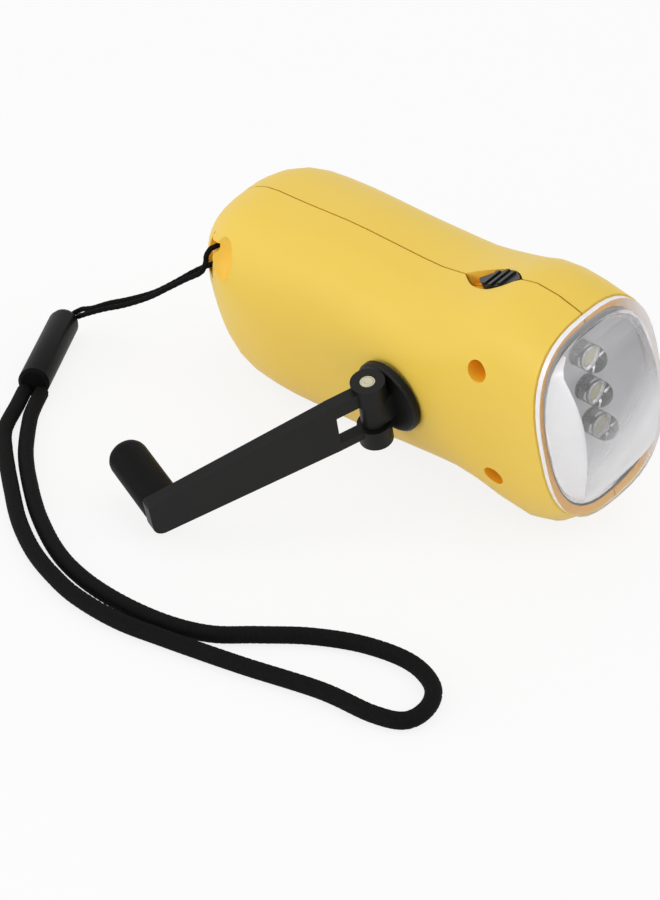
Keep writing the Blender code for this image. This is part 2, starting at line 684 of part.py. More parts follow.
def solar_side_shell(torch, switch, core, look):
    shell = solid("solar_side_shell", half_shell(1), look, torch)
    inner = -OVERRUN

    def block(name, low, high):
        return trimmed(name, core, solid, box(low, high), None, torch)

    edge = WALL + SOLAR_LAND_MARGIN
    low = (SOLAR_TAIL_X - edge, SOLAR_PAD_Y, BAY_Z - SOLAR_HEIGHT / 2 - edge)
    high = (SOLAR_TAIL_X + SOLAR_LENGTH + edge, OUTSIDE_Y, BAY_Z + SOLAR_HEIGHT / 2 + edge)
    added = [block("solar_pad", low, high)]
    sleeve_radius = CELL_RADIUS + PRESS + SLEEVE_WALL
    for number, way in enumerate((-1, 1), 1):
        near = BAY_Z + way * (sleeve_radius + SLIP)
        far = near + way * CRADLE_WIDTH
        rail_low = (CELL_TAIL_X, SOLAR_PAD_Y - CRADLE_HEIGHT, min(near, far))
        rail_high = (CELL_TAIL_X + 3 * CELL_LENGTH, SOLAR_PAD_Y + OVERRUN, max(near, far))
        added.append(solid(f"battery_rail_{number}", box(rail_low, rail_high), None, torch))
    for number, (x, z) in enumerate(CASE_SCREWS, 1):
        ends = (x, inner, z), (x, OUTSIDE_Y, z)
        added.append(trimmed(f"far_case_boss_{number}", core, rod, None, torch, *ends, CASE_BOSS_RADIUS))
    added.append(switch_pad("solar_side_switch_pad", switch, core, 1))
    ledge_top = -switch_stack()["board_bottom"] - SLIP
    ledge_low = (BOARD_FRONT - BOARD_LENGTH, BOARD_WIDTH / 2 - LEDGE_WIDTH, ledge_top - LEDGE_HEIGHT)
    ledge_high = (BOARD_FRONT - BOARD_LENGTH / 3, OUTSIDE_Y, ledge_top)
    added.append(trimmed("board_ledge", core, solid, box(ledge_low, ledge_high), None, switch))
    combine(shell, "UNION", *added, solver=SHELL_SOLVER)

    half = SOLAR_HEIGHT / 2
    margin = SOLAR_LAND_MARGIN
    land_outline = rounded_outline(
        (SOLAR_TAIL_X - margin, BAY_Z - half - margin),
        (SOLAR_TAIL_X + SOLAR_LENGTH + margin, BAY_Z + half + margin), SOLAR_ROUND + margin)
    pocket_outline = rounded_outline(
        (SOLAR_TAIL_X - SLIP, BAY_Z - half - SLIP),
        (SOLAR_TAIL_X + SOLAR_LENGTH + SLIP, BAY_Z + half + SLIP), SOLAR_ROUND + SLIP)
    cuts = [
        solid("solar_land", prism(land_outline, SOLAR_LAND_Y, OUTSIDE_Y, 1), None, torch),
        solid("solar_pocket", prism(pocket_outline, POCKET_FLOOR_Y, OUTSIDE_Y, 1), None, torch),
    ]
    for number, (x, z) in enumerate(CASE_SCREWS, 1):
        end = CASE_HEAD_SEAT_Y + CASE_SCREW_LENGTH + SLIP
        cuts.append(rod(f"far_screw_hole_{number}", None, torch, (x, 0, z), (x, end, z), SCREW_SHANK_RADIUS + PRESS))
    cuts.extend(switch_cuts(switch, "far_"))
    cuts.append(seam_cut(torch, 1))
    combine(shell, "DIFFERENCE", *cuts, solver=SHELL_SOLVER)
    return shell


def ground_cut():
    """The ground that the torch rests on, which flattens its two lowest spots."""
    reach = BODY_LENGTH + BODY_WIDTH
    return solid("ground_cut", box((-reach, -reach, -BODY_WIDTH), (reach, reach, 0)), None, None)


def seam_cut(torch, side):
    """Everything beyond the seam, less half the gap that the two halves keep."""
    ends = sorted((side * SEAM_GAP / 2, -side * BODY_WIDTH))
    low = (-BODY_WIDTH, ends[0], -BODY_HEIGHT)
    high = (BODY_LENGTH + BODY_WIDTH, ends[1], 2 * BODY_HEIGHT)
    return solid("seam_cut" if side < 0 else "far_seam_cut", box(low, high), None, torch)


def strap_normal():
    turn = math.radians(bar_turn_degrees)
    return Vector((math.cos(turn), math.sin(turn), 0)), Vector((-math.sin(turn), math.cos(turn), 0))


def strap_boss(torch):
    """A swelling that carries the strap bar just proud of the housing."""
    outward, _ = strap_normal()
    centre = Vector((BAR_X, BAR_Y, BAR_Z)) - outward * STRAP_BOSS_SET_BACK
    radii = (STRAP_BOSS_RADIUS, STRAP_BOSS_WIDTH / 2, STRAP_BOSS_RADIUS)
    return solid("strap_boss", ball(radii), None, torch, centre, (0, 0, math.radians(bar_turn_degrees)))


def strap_cuts(torch):
    _, along = strap_normal()
    centre = Vector((BAR_X, BAR_Y, BAR_Z))
    half = along * (STRAP_TUNNEL_WIDTH / 2)
    tunnel = tube("strap_tunnel", None, torch, centre - half, centre + half, STRAP_TUNNEL_RADIUS, BAR_RADIUS, 24)
    radii = [SCOOP_RADIUS * share for share in scoop_stretch_shares]
    scoop = solid("strap_scoop", ball(radii), None, torch, SCOOP_CENTRE)
    return [tunnel, scoop]


# Slide switch and its board


def switch_stack():
    """Depths below the top seam, from the pad under the knob down to the board."""
    body_top = SWITCH_PAD_DEPTH + SLIP
    body_bottom = body_top + SWITCH_BODY_HEIGHT
    board_top = body_bottom + SLIP
    return {
        "body_top": body_top,
        "body_bottom": body_bottom,
        "board_top": board_top,
        "board_bottom": board_top + BOARD_THICKNESS,
    }


def switch_pad(name, switch, core, side):
    ends = sorted((-side * OVERRUN, side * (EYE_WIDTH / 2 + WALL)))
    half = EYE_LENGTH / 2 + WALL / 2
    low, high = (-half, ends[0], -SWITCH_PAD_DEPTH), (half, ends[1], BODY_WIDTH)
    return trimmed(name, core, solid, box(low, high), None, switch)


def switch_cuts(switch, side=""):
    eye = prism(eye_outline(EYE_LENGTH, EYE_WIDTH), -EYE_DEPTH, TAIL_LENGTH, 2)
    run = (STEM_LENGTH + SWITCH_TRAVEL) / 2 + SLIP
    across = STEM_WIDTH / 2 + SLIP
    slot = box((-run, -across, -SWITCH_PAD_DEPTH - OVERRUN), (run, across, -EYE_DEPTH + OVERRUN))
    return [solid(side + "eye_cut", eye, None, switch), solid(side + "slot_cut", slot, None, switch)]


def switch_pieces(switch, looks):
    """The knob at the front end of its travel, the switch under it and the board below."""
    base = -EYE_DEPTH + SLIP
    slider = frame("slider_axis", (SWITCH_TRAVEL / 2, 0, 0), (0, 0, 0), switch)
    shape = prism(eye_outline(KNOB_EYE_LENGTH, KNOB_EYE_WIDTH), base, KNOB_PROUD, 2)
    knob = solid("switch_knob", shape, looks["black"], slider)
    added = []
    for number in range(ridge_count):
        middle = (number - (ridge_count - 1) / 2) * RIDGE_PITCH
        reach = (abs(middle) + RIDGE_WIDTH / 2) / (KNOB_EYE_LENGTH / 2)
        across = KNOB_EYE_WIDTH / 2 * (1 - reach**2) - RIDGE_INSET
        low = (middle - RIDGE_WIDTH / 2, -across, base + SLIP)
        high = (middle + RIDGE_WIDTH / 2, across, KNOB_PROUD + RIDGE_HEIGHT)
        bar = solid(f"ridge_{number + 1}", box(low, high), None, slider)
        added.append(bar)
    half_run, half_width = STEM_LENGTH / 2, STEM_WIDTH / 2
    stem = box((-half_run, -half_width, -SWITCH_PAD_DEPTH), (half_run, half_width, base + SLIP / 2))
    combine(knob, "UNION", solid("switch_stem", stem, None, slider), *added)
    stack = switch_stack()
    half = SWITCH_BODY_WIDTH / 2
    low = (SWITCH_BODY_FRONT - SWITCH_BODY_LENGTH, -half, -stack["body_bottom"])
    solid("switch_body", box(low, (SWITCH_BODY_FRONT, half, -stack["body_top"])), looks["steel"], switch)
    low = (BOARD_FRONT - BOARD_LENGTH, -BOARD_WIDTH / 2, -stack["board_bottom"])
    high = (BOARD_FRONT, BOARD_WIDTH / 2, -stack["board_top"])
    solid("main_circuit_board", box(low, high), looks["board"], switch)


# Crank


def crank_pieces(torch, looks):
    crank = frame("crank_axis", (CRANK_X, HUB_FACE_Y, CRANK_Z), (0, math.radians(crank_turn_degrees), 0), torch)
    shoulder = LAYERS[0] - SLIP - HUB_FACE_Y
    stub_end = LAYERS[0] + GEAR_THICKNESS - HUB_FACE_Y
    screw_hole = SCREW_SHANK_RADIUS + PRESS
    hole_bottom = stub_end - HUB_SCREW_LENGTH - SLIP
    profile = [
        (0, 0), (HUB_RADIUS - HUB_EDGE, 0), (HUB_RADIUS, HUB_EDGE), (HUB_RADIUS, HUB_THICKNESS),
        (HUB_SHAFT_RADIUS, HUB_THICKNESS), (HUB_SHAFT_RADIUS, shoulder), (HUB_STUB_RADIUS, shoulder),
        (HUB_STUB_RADIUS, stub_end), (screw_hole, stub_end), (screw_hole, hole_bottom), (0, hole_bottom),
    ]
    hub = solid("crank_hub", turned(profile, 40), looks["black"], crank, (0, 0, 0), pointing(Y))
    pin = (0, -PIN_STANDOFF)
    neck = [(KNUCKLE_RADIUS, HUB_EDGE), *arc(pin, KNUCKLE_RADIUS, 0, -180, 13), (-KNUCKLE_RADIUS, HUB_EDGE)]
    knuckle = solid("knuckle", prism(neck, -KNUCKLE_HALF, KNUCKLE_HALF, 2), None, crank)
    combine(hub, "UNION", knuckle)
    reach = KNUCKLE_HALF + OVERRUN
    bore = rod("knuckle_bore", None, crank, (*pin, -reach), (*pin, reach), PIN_RADIUS + TURN)
    combine(hub, "DIFFERENCE", bore)

    low, high = LAYERS[0], LAYERS[0] + GEAR_THICKNESS
    drive = gear("drive_gear", looks["gear"], torch, CRANK_CENTRE, drive_teeth, TO_AXLE_1, low, high)
    ends = (CRANK_X, low - OVERRUN, CRANK_Z), (CRANK_X, high + OVERRUN, CRANK_Z)
    combine(drive, "DIFFERENCE", rod("drive_bore", None, torch, *ends, HUB_STUB_RADIUS + PRESS))
    head = stub_end + SLIP
    profile = [
        (0, head - HUB_SCREW_LENGTH), (SCREW_SHANK_RADIUS, head - HUB_SCREW_LENGTH), (SCREW_SHANK_RADIUS, head),
        (HUB_SCREW_HEAD_RADIUS, head), (HUB_SCREW_HEAD_RADIUS, head + SCREW_HEAD_HEIGHT), (0, head + SCREW_HEAD_HEIGHT),
    ]
    solid("hub_screw", turned(profile, 20), looks["steel"], crank, (0, 0, 0), pointing(Y))

    arm = frame("arm_axis", (*pin, 0), (0, 0, math.radians(arm_fold_degrees)), crank)
    crank_arm(arm, looks["black"])
    reach = KNUCKLE_HALF + SLIP + LUG_THICKNESS - PIN_INSET
    pin_rod = rod("hinge_pin", looks["steel"], arm, (0, 0, -reach), (0, 0, reach), PIN_RADIUS)
    pin_rod.location, pin_rod.rotation_euler = (0, 0, 0), (0, 0, 0)
    for point in pin_rod.data.vertices:
        point.co.z -= reach
    crank_knob(arm, looks["black"])


def crank_arm(arm, look):
    """A flat arm that forks to two round lugs on the pin, and a spigot that the knob turns on."""
    lug_low, lug_high = KNUCKLE_HALF + SLIP, KNUCKLE_HALF + SLIP + LUG_THICKNESS
    end = -ARM_REACH - KNOB_RADIUS
    half = ARM_THICKNESS / 2
    lower = arc((end + ARM_CORNER, -ARM_END_FOOT + ARM_CORNER), ARM_CORNER, 180, 260, 6)
    outline = [(-FORK_DEPTH, ARM_ROOT_TOP), (end + ARM_BEVEL, ARM_END_TOP), (end, ARM_END_TOP - ARM_BEVEL)]
    outline += [*lower, (-FORK_DEPTH, -ARM_ROOT_FOOT)]
    plate = solid("crank_arm", prism(outline, -half, half, 0), look, arm)
    lugs = []
    for number, (way, edge) in enumerate(((1, ARM_ROOT_TOP), (-1, ARM_ROOT_FOOT)), 1):
        inner, outer, tine_edge = way * lug_low, way * lug_high, way * edge
        lugs.append(rod(f"lug_{number}", None, arm, (0, 0, inner), (0, 0, outer), LUG_RADIUS, 28))
        low = (-half, -FORK_DEPTH - OVERRUN, min(inner, tine_edge))
        high = (half, 0, max(inner, tine_edge))
        lugs.append(solid(f"tine_{number}", box(low, high), None, arm))
    spigot = rod("spigot", None, arm, (0, -ARM_REACH, 0), (-half - SPIGOT_LENGTH, -ARM_REACH, 0), SPIGOT_RADIUS)
    combine(plate, "UNION", *lugs, spigot)
    reach = lug_high + OVERRUN
    bore = rod("lug_bore", None, arm, (0, 0, -reach), (0, 0, reach), PIN_RADIUS + PRESS)
    combine(plate, "DIFFERENCE", bore)


def crank_knob(arm, look):
    knob = frame("knob_axis", (-ARM_THICKNESS / 2 - SLIP, -ARM_REACH, 0), (0, 0, 0), arm)
    bore, depth = SPIGOT_RADIUS + TURN, SPIGOT_LENGTH + SLIP
    tip = arc((KNOB_RADIUS - KNOB_TIP_ROUND, KNOB_LENGTH - KNOB_TIP_ROUND), KNOB_TIP_ROUND, 0, 90, 6)
    foot = [(KNOB_RADIUS - KNOB_FOOT_ROUND, 0), (KNOB_RADIUS, KNOB_FOOT_ROUND)]
    profile = [(0, depth), (bore, depth), (bore, 0), *foot, *tip, (0, KNOB_LENGTH)]
    solid("crank_knob", turned(profile, 32), look, knob, (0, 0, 0), pointing(-X))


# Gear train, generator and battery


def compound_gear(number, centre, wheel_teeth, back_angle, next_angle, layer, torch, looks):
    """A wheel with the pinion that drives it, on one axle."""
    wheel_low = LAYERS[layer + 1]
    wheel = gear(f"compound_gear_{number}", looks["gear"], torch, centre, wheel_teeth, next_angle,
                 wheel_low, wheel_low + GEAR_THICKNESS)
    pinion = gear(f"pinion_{number}", None, torch, centre, pinion_teeth, phase_against(back_angle, pinion_teeth),
                  LAYERS[layer], wheel_low + GEAR_THICKNESS / 2)
    combine(wheel, "UNION", pinion)
    ends = (centre[0], LAYERS[layer] - OVERRUN, centre[1]), (centre[0], wheel_low + 2 * GEAR_THICKNESS, centre[1])
    combine(wheel, "DIFFERENCE", rod(f"wheel_bore_{number}", None, torch, *ends, AXLE_RADIUS + TURN))
    start = layer_seat(layer) + SLIP
    end = PLATE_Y + PLATE_THICKNESS
    ends = (centre[0], start, centre[1]), (centre[0], end, centre[1])
    rod(f"gear_axle_{number}", looks["steel"], torch, *ends, AXLE_RADIUS)


def layer_seat(layer):
    return LAYERS[layer] - GEAR_SPACE / 2 - AXLE_SEAT


def drive_train(torch, looks):
    compound_gear(1, AXLE_1, wheel_1_teeth, TO_AXLE_1, TO_AXLE_2, 0, torch, looks)
    compound_gear(2, AXLE_2, wheel_2_teeth, TO_AXLE_2, TO_ROTOR, 1, torch, looks)
    pinion = gear("rotor_pinion", looks["gear"], torch, ROTOR, pinion_teeth,
                  phase_against(TO_ROTOR, pinion_teeth), LAYERS[2], LAYERS[2] + GEAR_THICKNESS)
    x, z = ROTOR
    ends = (x, LAYERS[2] - OVERRUN, z), (x, LAYERS[2] + GEAR_THICKNESS + OVERRUN, z)
    combine(pinion, "DIFFERENCE", rod("rotor_pinion_bore", None, torch, *ends, AXLE_RADIUS + PRESS))
    magnet_y = STATOR_Y + (STATOR_LENGTH - MAGNET_LENGTH) / 2
    start, end = layer_seat(2) + SLIP, magnet_y + MAGNET_LENGTH + STATOR_WALL
    rod("rotor_axle", looks["steel"], torch, (x, start, z), (x, end, z), AXLE_RADIUS)
    ends = (x, magnet_y, z), (x, magnet_y + MAGNET_LENGTH, z)
    tube("magnet_rotor", looks["magnet"], torch, *ends, MAGNET_RADIUS, AXLE_RADIUS + PRESS)
    bore, rim = MAGNET_RADIUS + AIR_GAP, STATOR_RADIUS - STATOR_WALL
    low, high = STATOR_WALL, STATOR_LENGTH - STATOR_WALL
    profile = [
        (bore, 0), (STATOR_RADIUS, 0), (STATOR_RADIUS, STATOR_LENGTH), (bore, STATOR_LENGTH),
        (bore, high), (rim, high), (rim, low), (bore, low),
    ]
    solid("stator_core", turned(profile, 36), looks["steel"], torch, (x, STATOR_Y, z), pointing(Y))
    ends = (x, STATOR_Y + low + SLIP, z), (x, STATOR_Y + high - SLIP, z)
    tube("stator_coil", looks["copper"], torch, *ends, rim - SLIP, bore + SLIP, 36)
    gearbox_plate(torch, looks)


def gearbox_plate(torch, looks):
    outline = rounded_outline((PLATE_TAIL_X, PLATE_LOW_Z), (PLATE_FRONT_X, PLATE_HIGH_Z), PLATE_ROUND)
    plate = solid("gearbox_plate", prism(outline, PLATE_Y, PLATE_Y + PLATE_THICKNESS, 1), looks["plate"], torch)
    holes = []
    for number, (x, z) in enumerate((AXLE_1, AXLE_2, ROTOR, *POSTS), 1):
        ends = (x, PLATE_Y - OVERRUN, z), (x, PLATE_Y + PLATE_THICKNESS + OVERRUN, z)
        holes.append(rod(f"plate_hole_{number}", None, torch, *ends, AXLE_RADIUS + TURN))
    combine(plate, "DIFFERENCE", *holes)
    for number, (x, z) in enumerate(POSTS, 1):
        shank = PLATE_THICKNESS + SLIP + PLATE_SCREW_LENGTH
        screw(f"plate_screw_{number}", looks["steel"], torch, (x, STATOR_Y, z), -Y, shank, PLATE_SCREW_HEAD_RADIUS,
              SCREW_HEAD_HEIGHT)


def screw(name, look, parent, seat, direction, length, head_radius, head_height):
    """A pan head screw: its head rests at the seat and its shank runs along the direction."""
    profile = [
        (0, -head_height), (head_radius, -head_height), (head_radius, 0), (SCREW_SHANK_RADIUS, 0),
        (SCREW_SHANK_RADIUS, length), (0, length),
    ]
    solid(name, turned(profile, 20), look, parent, seat, pointing(direction))


def case_screws(torch, looks):
    for number, (x, z) in enumerate(CASE_SCREWS, 1):
        screw(f"case_screw_{number}", looks["steel"], torch, (x, CASE_HEAD_SEAT_Y - SLIP, z), Y, CASE_SCREW_LENGTH,
              CASE_HEAD_RADIUS, CASE_HEAD_HEIGHT)


def battery(torch, looks):
    outer = CELL_RADIUS + PRESS + SLEEVE_WALL
    y = SOLAR_PAD_Y - SLIP - outer
    for number in range(3):
        start = CELL_TAIL_X + number * (CELL_LENGTH + PRESS)
        rod(f"battery_cell_{number + 1}", looks["steel"], torch, (start, y, BAY_Z), (start + CELL_LENGTH, y, BAY_Z),
            CELL_RADIUS)
    end = CELL_TAIL_X + 3 * CELL_LENGTH + 2 * PRESS
    ends = (CELL_TAIL_X - SLIP, y, BAY_Z), (end + SLIP, y, BAY_Z)
    tube("battery_sleeve", looks["green"], torch, *ends, outer, CELL_RADIUS + PRESS)


def solar_window(torch, looks):
    half = SOLAR_HEIGHT / 2
    low, high = (SOLAR_TAIL_X, BAY_Z - half), (SOLAR_TAIL_X + SOLAR_LENGTH, BAY_Z + half)
    outline = rounded_outline(low, high, SOLAR_ROUND)
    solid("solar_window", prism(outline, WINDOW_Y, SOLAR_LAND_Y, 1), looks["window"], torch)
    shape = prism(outline, PANEL_Y, PANEL_Y + CELL_PANEL_THICKNESS, 1)
    solid("solar_cell_panel", shape, looks["cell"], torch)


# Front


def front_ring(x, scale, shrink=0.0, steps=36):
    """A ring of the body's front outline, scaled about its middle, then drawn in."""
    angles = np.linspace(0, 2 * math.pi, steps, endpoint=False)
    half_width, half_height, middle = section(BODY_LENGTH, WALL + SLIP)
    across, up = np.cos(angles), np.sin(angles)
    y = (half_width * scale - shrink) * np.sign(across) * np.abs(across) ** (2 / section_power)
    z = middle + (half_height * scale - shrink) * np.sign(up) * np.abs(up) ** (2 / section_power)
    return [(x, *pair) for pair in zip(y, z)]


def reflector(torch, looks):
    rim_x = BODY_LENGTH - SLIP
    shares = (0, 0.1, 0.3, 0.6, 1)
    scales = [reflector_share + (1 - reflector_share) * share**0.6 for share in shares]
    outside = [front_ring(REFLECTOR_FLOOR_X + REFLECTOR_DEPTH * share - REFLECTOR_WALL * (1 - share), scale)
               for share, scale in zip(shares, scales)]
    inside = [front_ring(REFLECTOR_FLOOR_X + REFLECTOR_DEPTH * share, scale, REFLECTOR_WALL)
              for share, scale in zip(shares, scales)]
    outside[-1] = front_ring(rim_x, 1)
    bowl = solid("reflector", loft(outside + inside[::-1]), looks["chrome"], torch)
    back = LED_BACK_X + LED_FLANGE_LENGTH + SLIP
    low = (back, -STEM_HALF_DEPTH, LED_Z - STEM_HALF_HEIGHT)
    high = (REFLECTOR_FLOOR_X - REFLECTOR_WALL / 2, STEM_HALF_DEPTH, LED_Z + STEM_HALF_HEIGHT)
    combine(bowl, "UNION", solid("lamp_stem", box(low, high), None, torch))
    holes = []
    for number, z in enumerate(led_heights(), 1):
        ends = (back - OVERRUN, 0, z), (REFLECTOR_FLOOR_X + OVERRUN, 0, z)
        holes.append(rod(f"lamp_hole_{number}", None, torch, *ends, LED_RADIUS + PRESS))
    combine(bowl, "DIFFERENCE", *holes)


def led_heights():
    return [LED_Z + (number - (led_count - 1) / 2) * LED_PITCH for number in range(led_count)]


def lamps(torch, looks):
    dome = arc((0, LED_LENGTH - LED_RADIUS), LED_RADIUS, 0, 90, 6)[:-1]
    profile = [
        (0, 0), (LED_FLANGE_RADIUS, 0), (LED_FLANGE_RADIUS, LED_FLANGE_LENGTH), (LED_RADIUS, LED_FLANGE_LENGTH),
        *dome, (0, LED_LENGTH),
    ]
    for number, z in enumerate(led_heights(), 1):
        solid(f"led_{number}", turned(profile, 20), looks["lamp"], torch, (LED_BACK_X, 0, z), pointing(X))
    front = LED_BACK_X - SLIP
    low = (front - LED_BOARD_THICKNESS, -LED_BOARD_HALF_WIDTH, LED_Z - STEM_HALF_HEIGHT)
    high = (front, LED_BOARD_HALF_WIDTH, LED_Z + STEM_HALF_HEIGHT)
    solid("led_board", box(low, high), looks["board"], torch)


def dome(inset, base_x):
    """The lens dome as a closed solid on a flat back: a cylinder front between two side facets."""
    middle = (DOME_LOW_Z + DOME_HIGH_Z) / 2
    half_height = (DOME_HIGH_Z - DOME_LOW_Z) / 2 - inset
    half_width = DOME_HALF_WIDTH - inset
    peak_x = BODY_LENGTH + SLIP + FLANGE_THICKNESS - inset
    rings = []
    for share in np.sin(np.linspace(-1, 1, dome_rows) * math.radians(86)):
        z = middle + half_height * share
        edge = half_width * (1 - abs(share) ** section_power) ** (1 / section_power)
        crease = min(DOME_CREASE_Y - inset / 2, edge * crease_limit_share)
        height = (share + 1) / 2
        side = dome_peak_share if height < dome_peak_share else 1 - dome_peak_share
        x = peak_x + (DOME_RISE - SLIP) * (1 - ((height - dome_peak_share) / side) ** 2)
        rings.append([(base_x, -edge, z), (x, -crease, z), (x, crease, z), (base_x, edge, z)])
    return loft(rings)


def lens_cover(torch, looks):
    angles = np.linspace(0, 2 * math.pi, 44, endpoint=False)
    y, z = section_ring(BODY_LENGTH, FLANGE_INSET, angles)
    back = BODY_LENGTH + SLIP
    rings = [[(x, *pair) for pair in zip(y, z)] for x in (back, back + FLANGE_THICKNESS)]
    cover = solid("lens_cover", loft(rings), looks["clear"], torch)
    combine(cover, "UNION", solid("dome", dome(0, back + FLANGE_THICKNESS / 2), None, torch))
    combine(cover, "DIFFERENCE", solid("dome_hollow", dome(DOME_SKIN, back - OVERRUN), None, torch))


# Cords


def smooth_route(points, spacing):
    """Points along a smooth curve through the route, evenly spaced."""
    points = np.asarray(points, float) * MM
    points = np.vstack([2 * points[0] - points[1], points, 2 * points[-1] - points[-2]])
    fine = []
    for before, start, end, after in zip(points, points[1:], points[2:], points[3:]):
        for t in np.linspace(0, 1, 12, endpoint=False):
            fine.append(0.5 * (2 * start + (end - before) * t + (2 * before - 5 * start + 4 * end - after) * t**2
                               + (3 * start - before - 3 * end + after) * t**3))
    fine = np.array([*fine, points[-2]])
    run = np.concatenate([[0], np.cumsum(np.linalg.norm(np.diff(fine, axis=0), axis=1))])
    places = np.linspace(0, run[-1], max(2, round(run[-1] / spacing) + 1))
    return np.stack([np.interp(places, run, fine[:, axis]) for axis in range(3)], axis=1)


def cord(name, route, radius, spacing, look):
    curve = bpy.data.curves.new(name, "CURVE")
    curve.dimensions = "3D"
    curve.bevel_depth = radius
    curve.bevel_resolution = 2
    curve.use_fill_caps = True
    places = smooth_route(route, spacing)
    spline = curve.splines.new("POLY")
    spline.points.add(len(places) - 1)
    for point, place in zip(spline.points, places):
        point.co = (*place, 1)
    curve.materials.append(look)
    piece = bpy.data.objects.new(name, curve)
    bpy.context.collection.objects.link(piece)
    return piece


def strap(looks):
    height = (WRIST_CORD_RADIUS + GROUND_GAP) / MM
    cord("wrist_loop", [(x, y, height) for x, y in wrist_route], WRIST_CORD_RADIUS, WRIST_CORD_SPACING, looks["cord"])
    cord("strap_string", string_route, STRING_RADIUS, STRING_SPACING, looks["cord"])
    level = CORD_SLEEVE_RADIUS + GROUND_GAP
    top = Vector((SLEEVE_TOP[0] * MM, SLEEVE_TOP[1] * MM, level))
    foot = Vector((SLEEVE_FOOT[0] * MM, SLEEVE_FOOT[1] * MM, level))
    length = (foot - top).length
    radius, edge = CORD_SLEEVE_RADIUS, CORD_SLEEVE_ROUND
    ellipse = [(radius * math.sin(a), CORD_SLEEVE_DOME * (1 - math.cos(a))) for a in np.radians([0, 25, 45, 65, 90])]
    profile = [*ellipse, (radius, length - edge), (radius - edge, length), (0, length)]
    solid("cord_sleeve", turned(profile, 24), looks["black"], None, top, pointing(foot - top))


def main():
    clear_scene()
    looks = {
        "orange": material("orange plastic", (0.86, 0.50, 0.07), 0.42),
        "black": material("black plastic", (0.03, 0.03, 0.03), 0.5),
        "clear": material("clear plastic", (0.87, 0.86, 0.9), 0.08),
        "chrome": material("chromed plastic", (0.8, 0.8, 0.82), 0.12, 1),
        "lamp": material("lamp resin", (0.9, 0.9, 0.86), 0.1),
        "steel": material("bright steel", (0.6, 0.6, 0.6), 0.3, 1),
        "gear": material("white gear plastic", (0.85, 0.85, 0.8), 0.5),
        "plate": material("grey plate plastic", (0.25, 0.25, 0.26), 0.6),
        "magnet": material("dark magnet", (0.08, 0.08, 0.09), 0.4, 0.6),
        "copper": material("copper winding", (0.6, 0.25, 0.1), 0.35, 1),
        "board": material("green circuit board", (0.03, 0.2, 0.08), 0.5),
        "green": material("green shrink sleeve", (0.05, 0.35, 0.12), 0.45),
        "cell": material("dark solar cell", (0.02, 0.02, 0.06), 0.2),
        "window": material("clear solar window", (0.15, 0.15, 0.2), 0.06),
        "cord": material("black braided cord", (0.025, 0.025, 0.025), 0.8),
    }
    torch = frame("torch_axis", *stance())
    switch = switch_frame(torch)
    core = solid("core", body_core(), None, torch)
    crank_side_shell(torch, switch, core, looks["orange"])
    solar_side_shell(torch, switch, core, looks["orange"])
    switch_pieces(switch, looks)
    crank_pieces(torch, looks)
    drive_train(torch, looks)
    case_screws(torch, looks)
    battery(torch, looks)
    solar_window(torch, looks)
    reflector(torch, looks)
    lamps(torch, looks)
    lens_cover(torch, looks)
    strap(looks)
    bpy.context.view_layer.update()


main()
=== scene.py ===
"""Looks of a hand crank torch with a folding crank, a faceted lens, a solar window and a wrist strap."""

import json
import math

import bpy
import numpy as np
from mathutils import Matrix, Vector


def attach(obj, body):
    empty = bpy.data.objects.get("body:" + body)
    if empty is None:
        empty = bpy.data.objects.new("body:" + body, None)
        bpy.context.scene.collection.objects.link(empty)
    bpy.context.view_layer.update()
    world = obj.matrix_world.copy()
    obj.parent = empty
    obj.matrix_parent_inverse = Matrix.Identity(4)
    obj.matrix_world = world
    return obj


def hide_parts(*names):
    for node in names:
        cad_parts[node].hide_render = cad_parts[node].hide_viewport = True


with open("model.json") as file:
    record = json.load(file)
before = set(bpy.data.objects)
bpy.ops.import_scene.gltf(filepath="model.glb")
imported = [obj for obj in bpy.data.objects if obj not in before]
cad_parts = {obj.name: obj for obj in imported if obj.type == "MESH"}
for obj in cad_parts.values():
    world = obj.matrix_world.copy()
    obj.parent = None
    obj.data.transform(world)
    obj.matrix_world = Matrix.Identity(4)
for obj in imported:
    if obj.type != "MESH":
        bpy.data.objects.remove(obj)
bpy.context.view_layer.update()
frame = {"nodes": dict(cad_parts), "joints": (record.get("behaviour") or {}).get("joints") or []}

MM = 0.001

# The torch leans over its crank side, and its own axes start at its tail
LEAN = math.radians(20)
TORCH_PLACE = Vector((-28.0, 8.636, 1.595)) * MM
TORCH_X = Vector((1, 0, 0))
TORCH_Y = Vector((0, math.cos(LEAN), math.sin(LEAN)))
TORCH_Z = Vector((0, -math.sin(LEAN), math.cos(LEAN)))

# Lamps, in the torch's own axes
LED_HEIGHTS = (23 * MM, 31 * MM, 39 * MM)
LED_BACK_X = 94.3 * MM

# The hinge pin, from its middle to its end
PIN_HALF_LENGTH = 7.3 * MM

# The housing: its colours, and painted shade: a deeper orange painted into its hollows, how far it reaches
# and how strong it is, and painted on its front face where the lens's flange lies close over it
BODY_COLOR = (0.835, 0.592, 0.098)
BODY_DEEP = (0.815, 0.562, 0.080)
BODY_PAINTED_SHADE = (0.98, 0.46, 0.018)
PAINTED_SHADE_REACH = 5.5 * MM
PAINTED_SHADE_STRENGTH = 2.1
LID_PAINTED_SHADE_REACH = 0.9 * MM
LID_PAINTED_SHADE_BELOW = 0.3
FRONT_FACING = 0.9
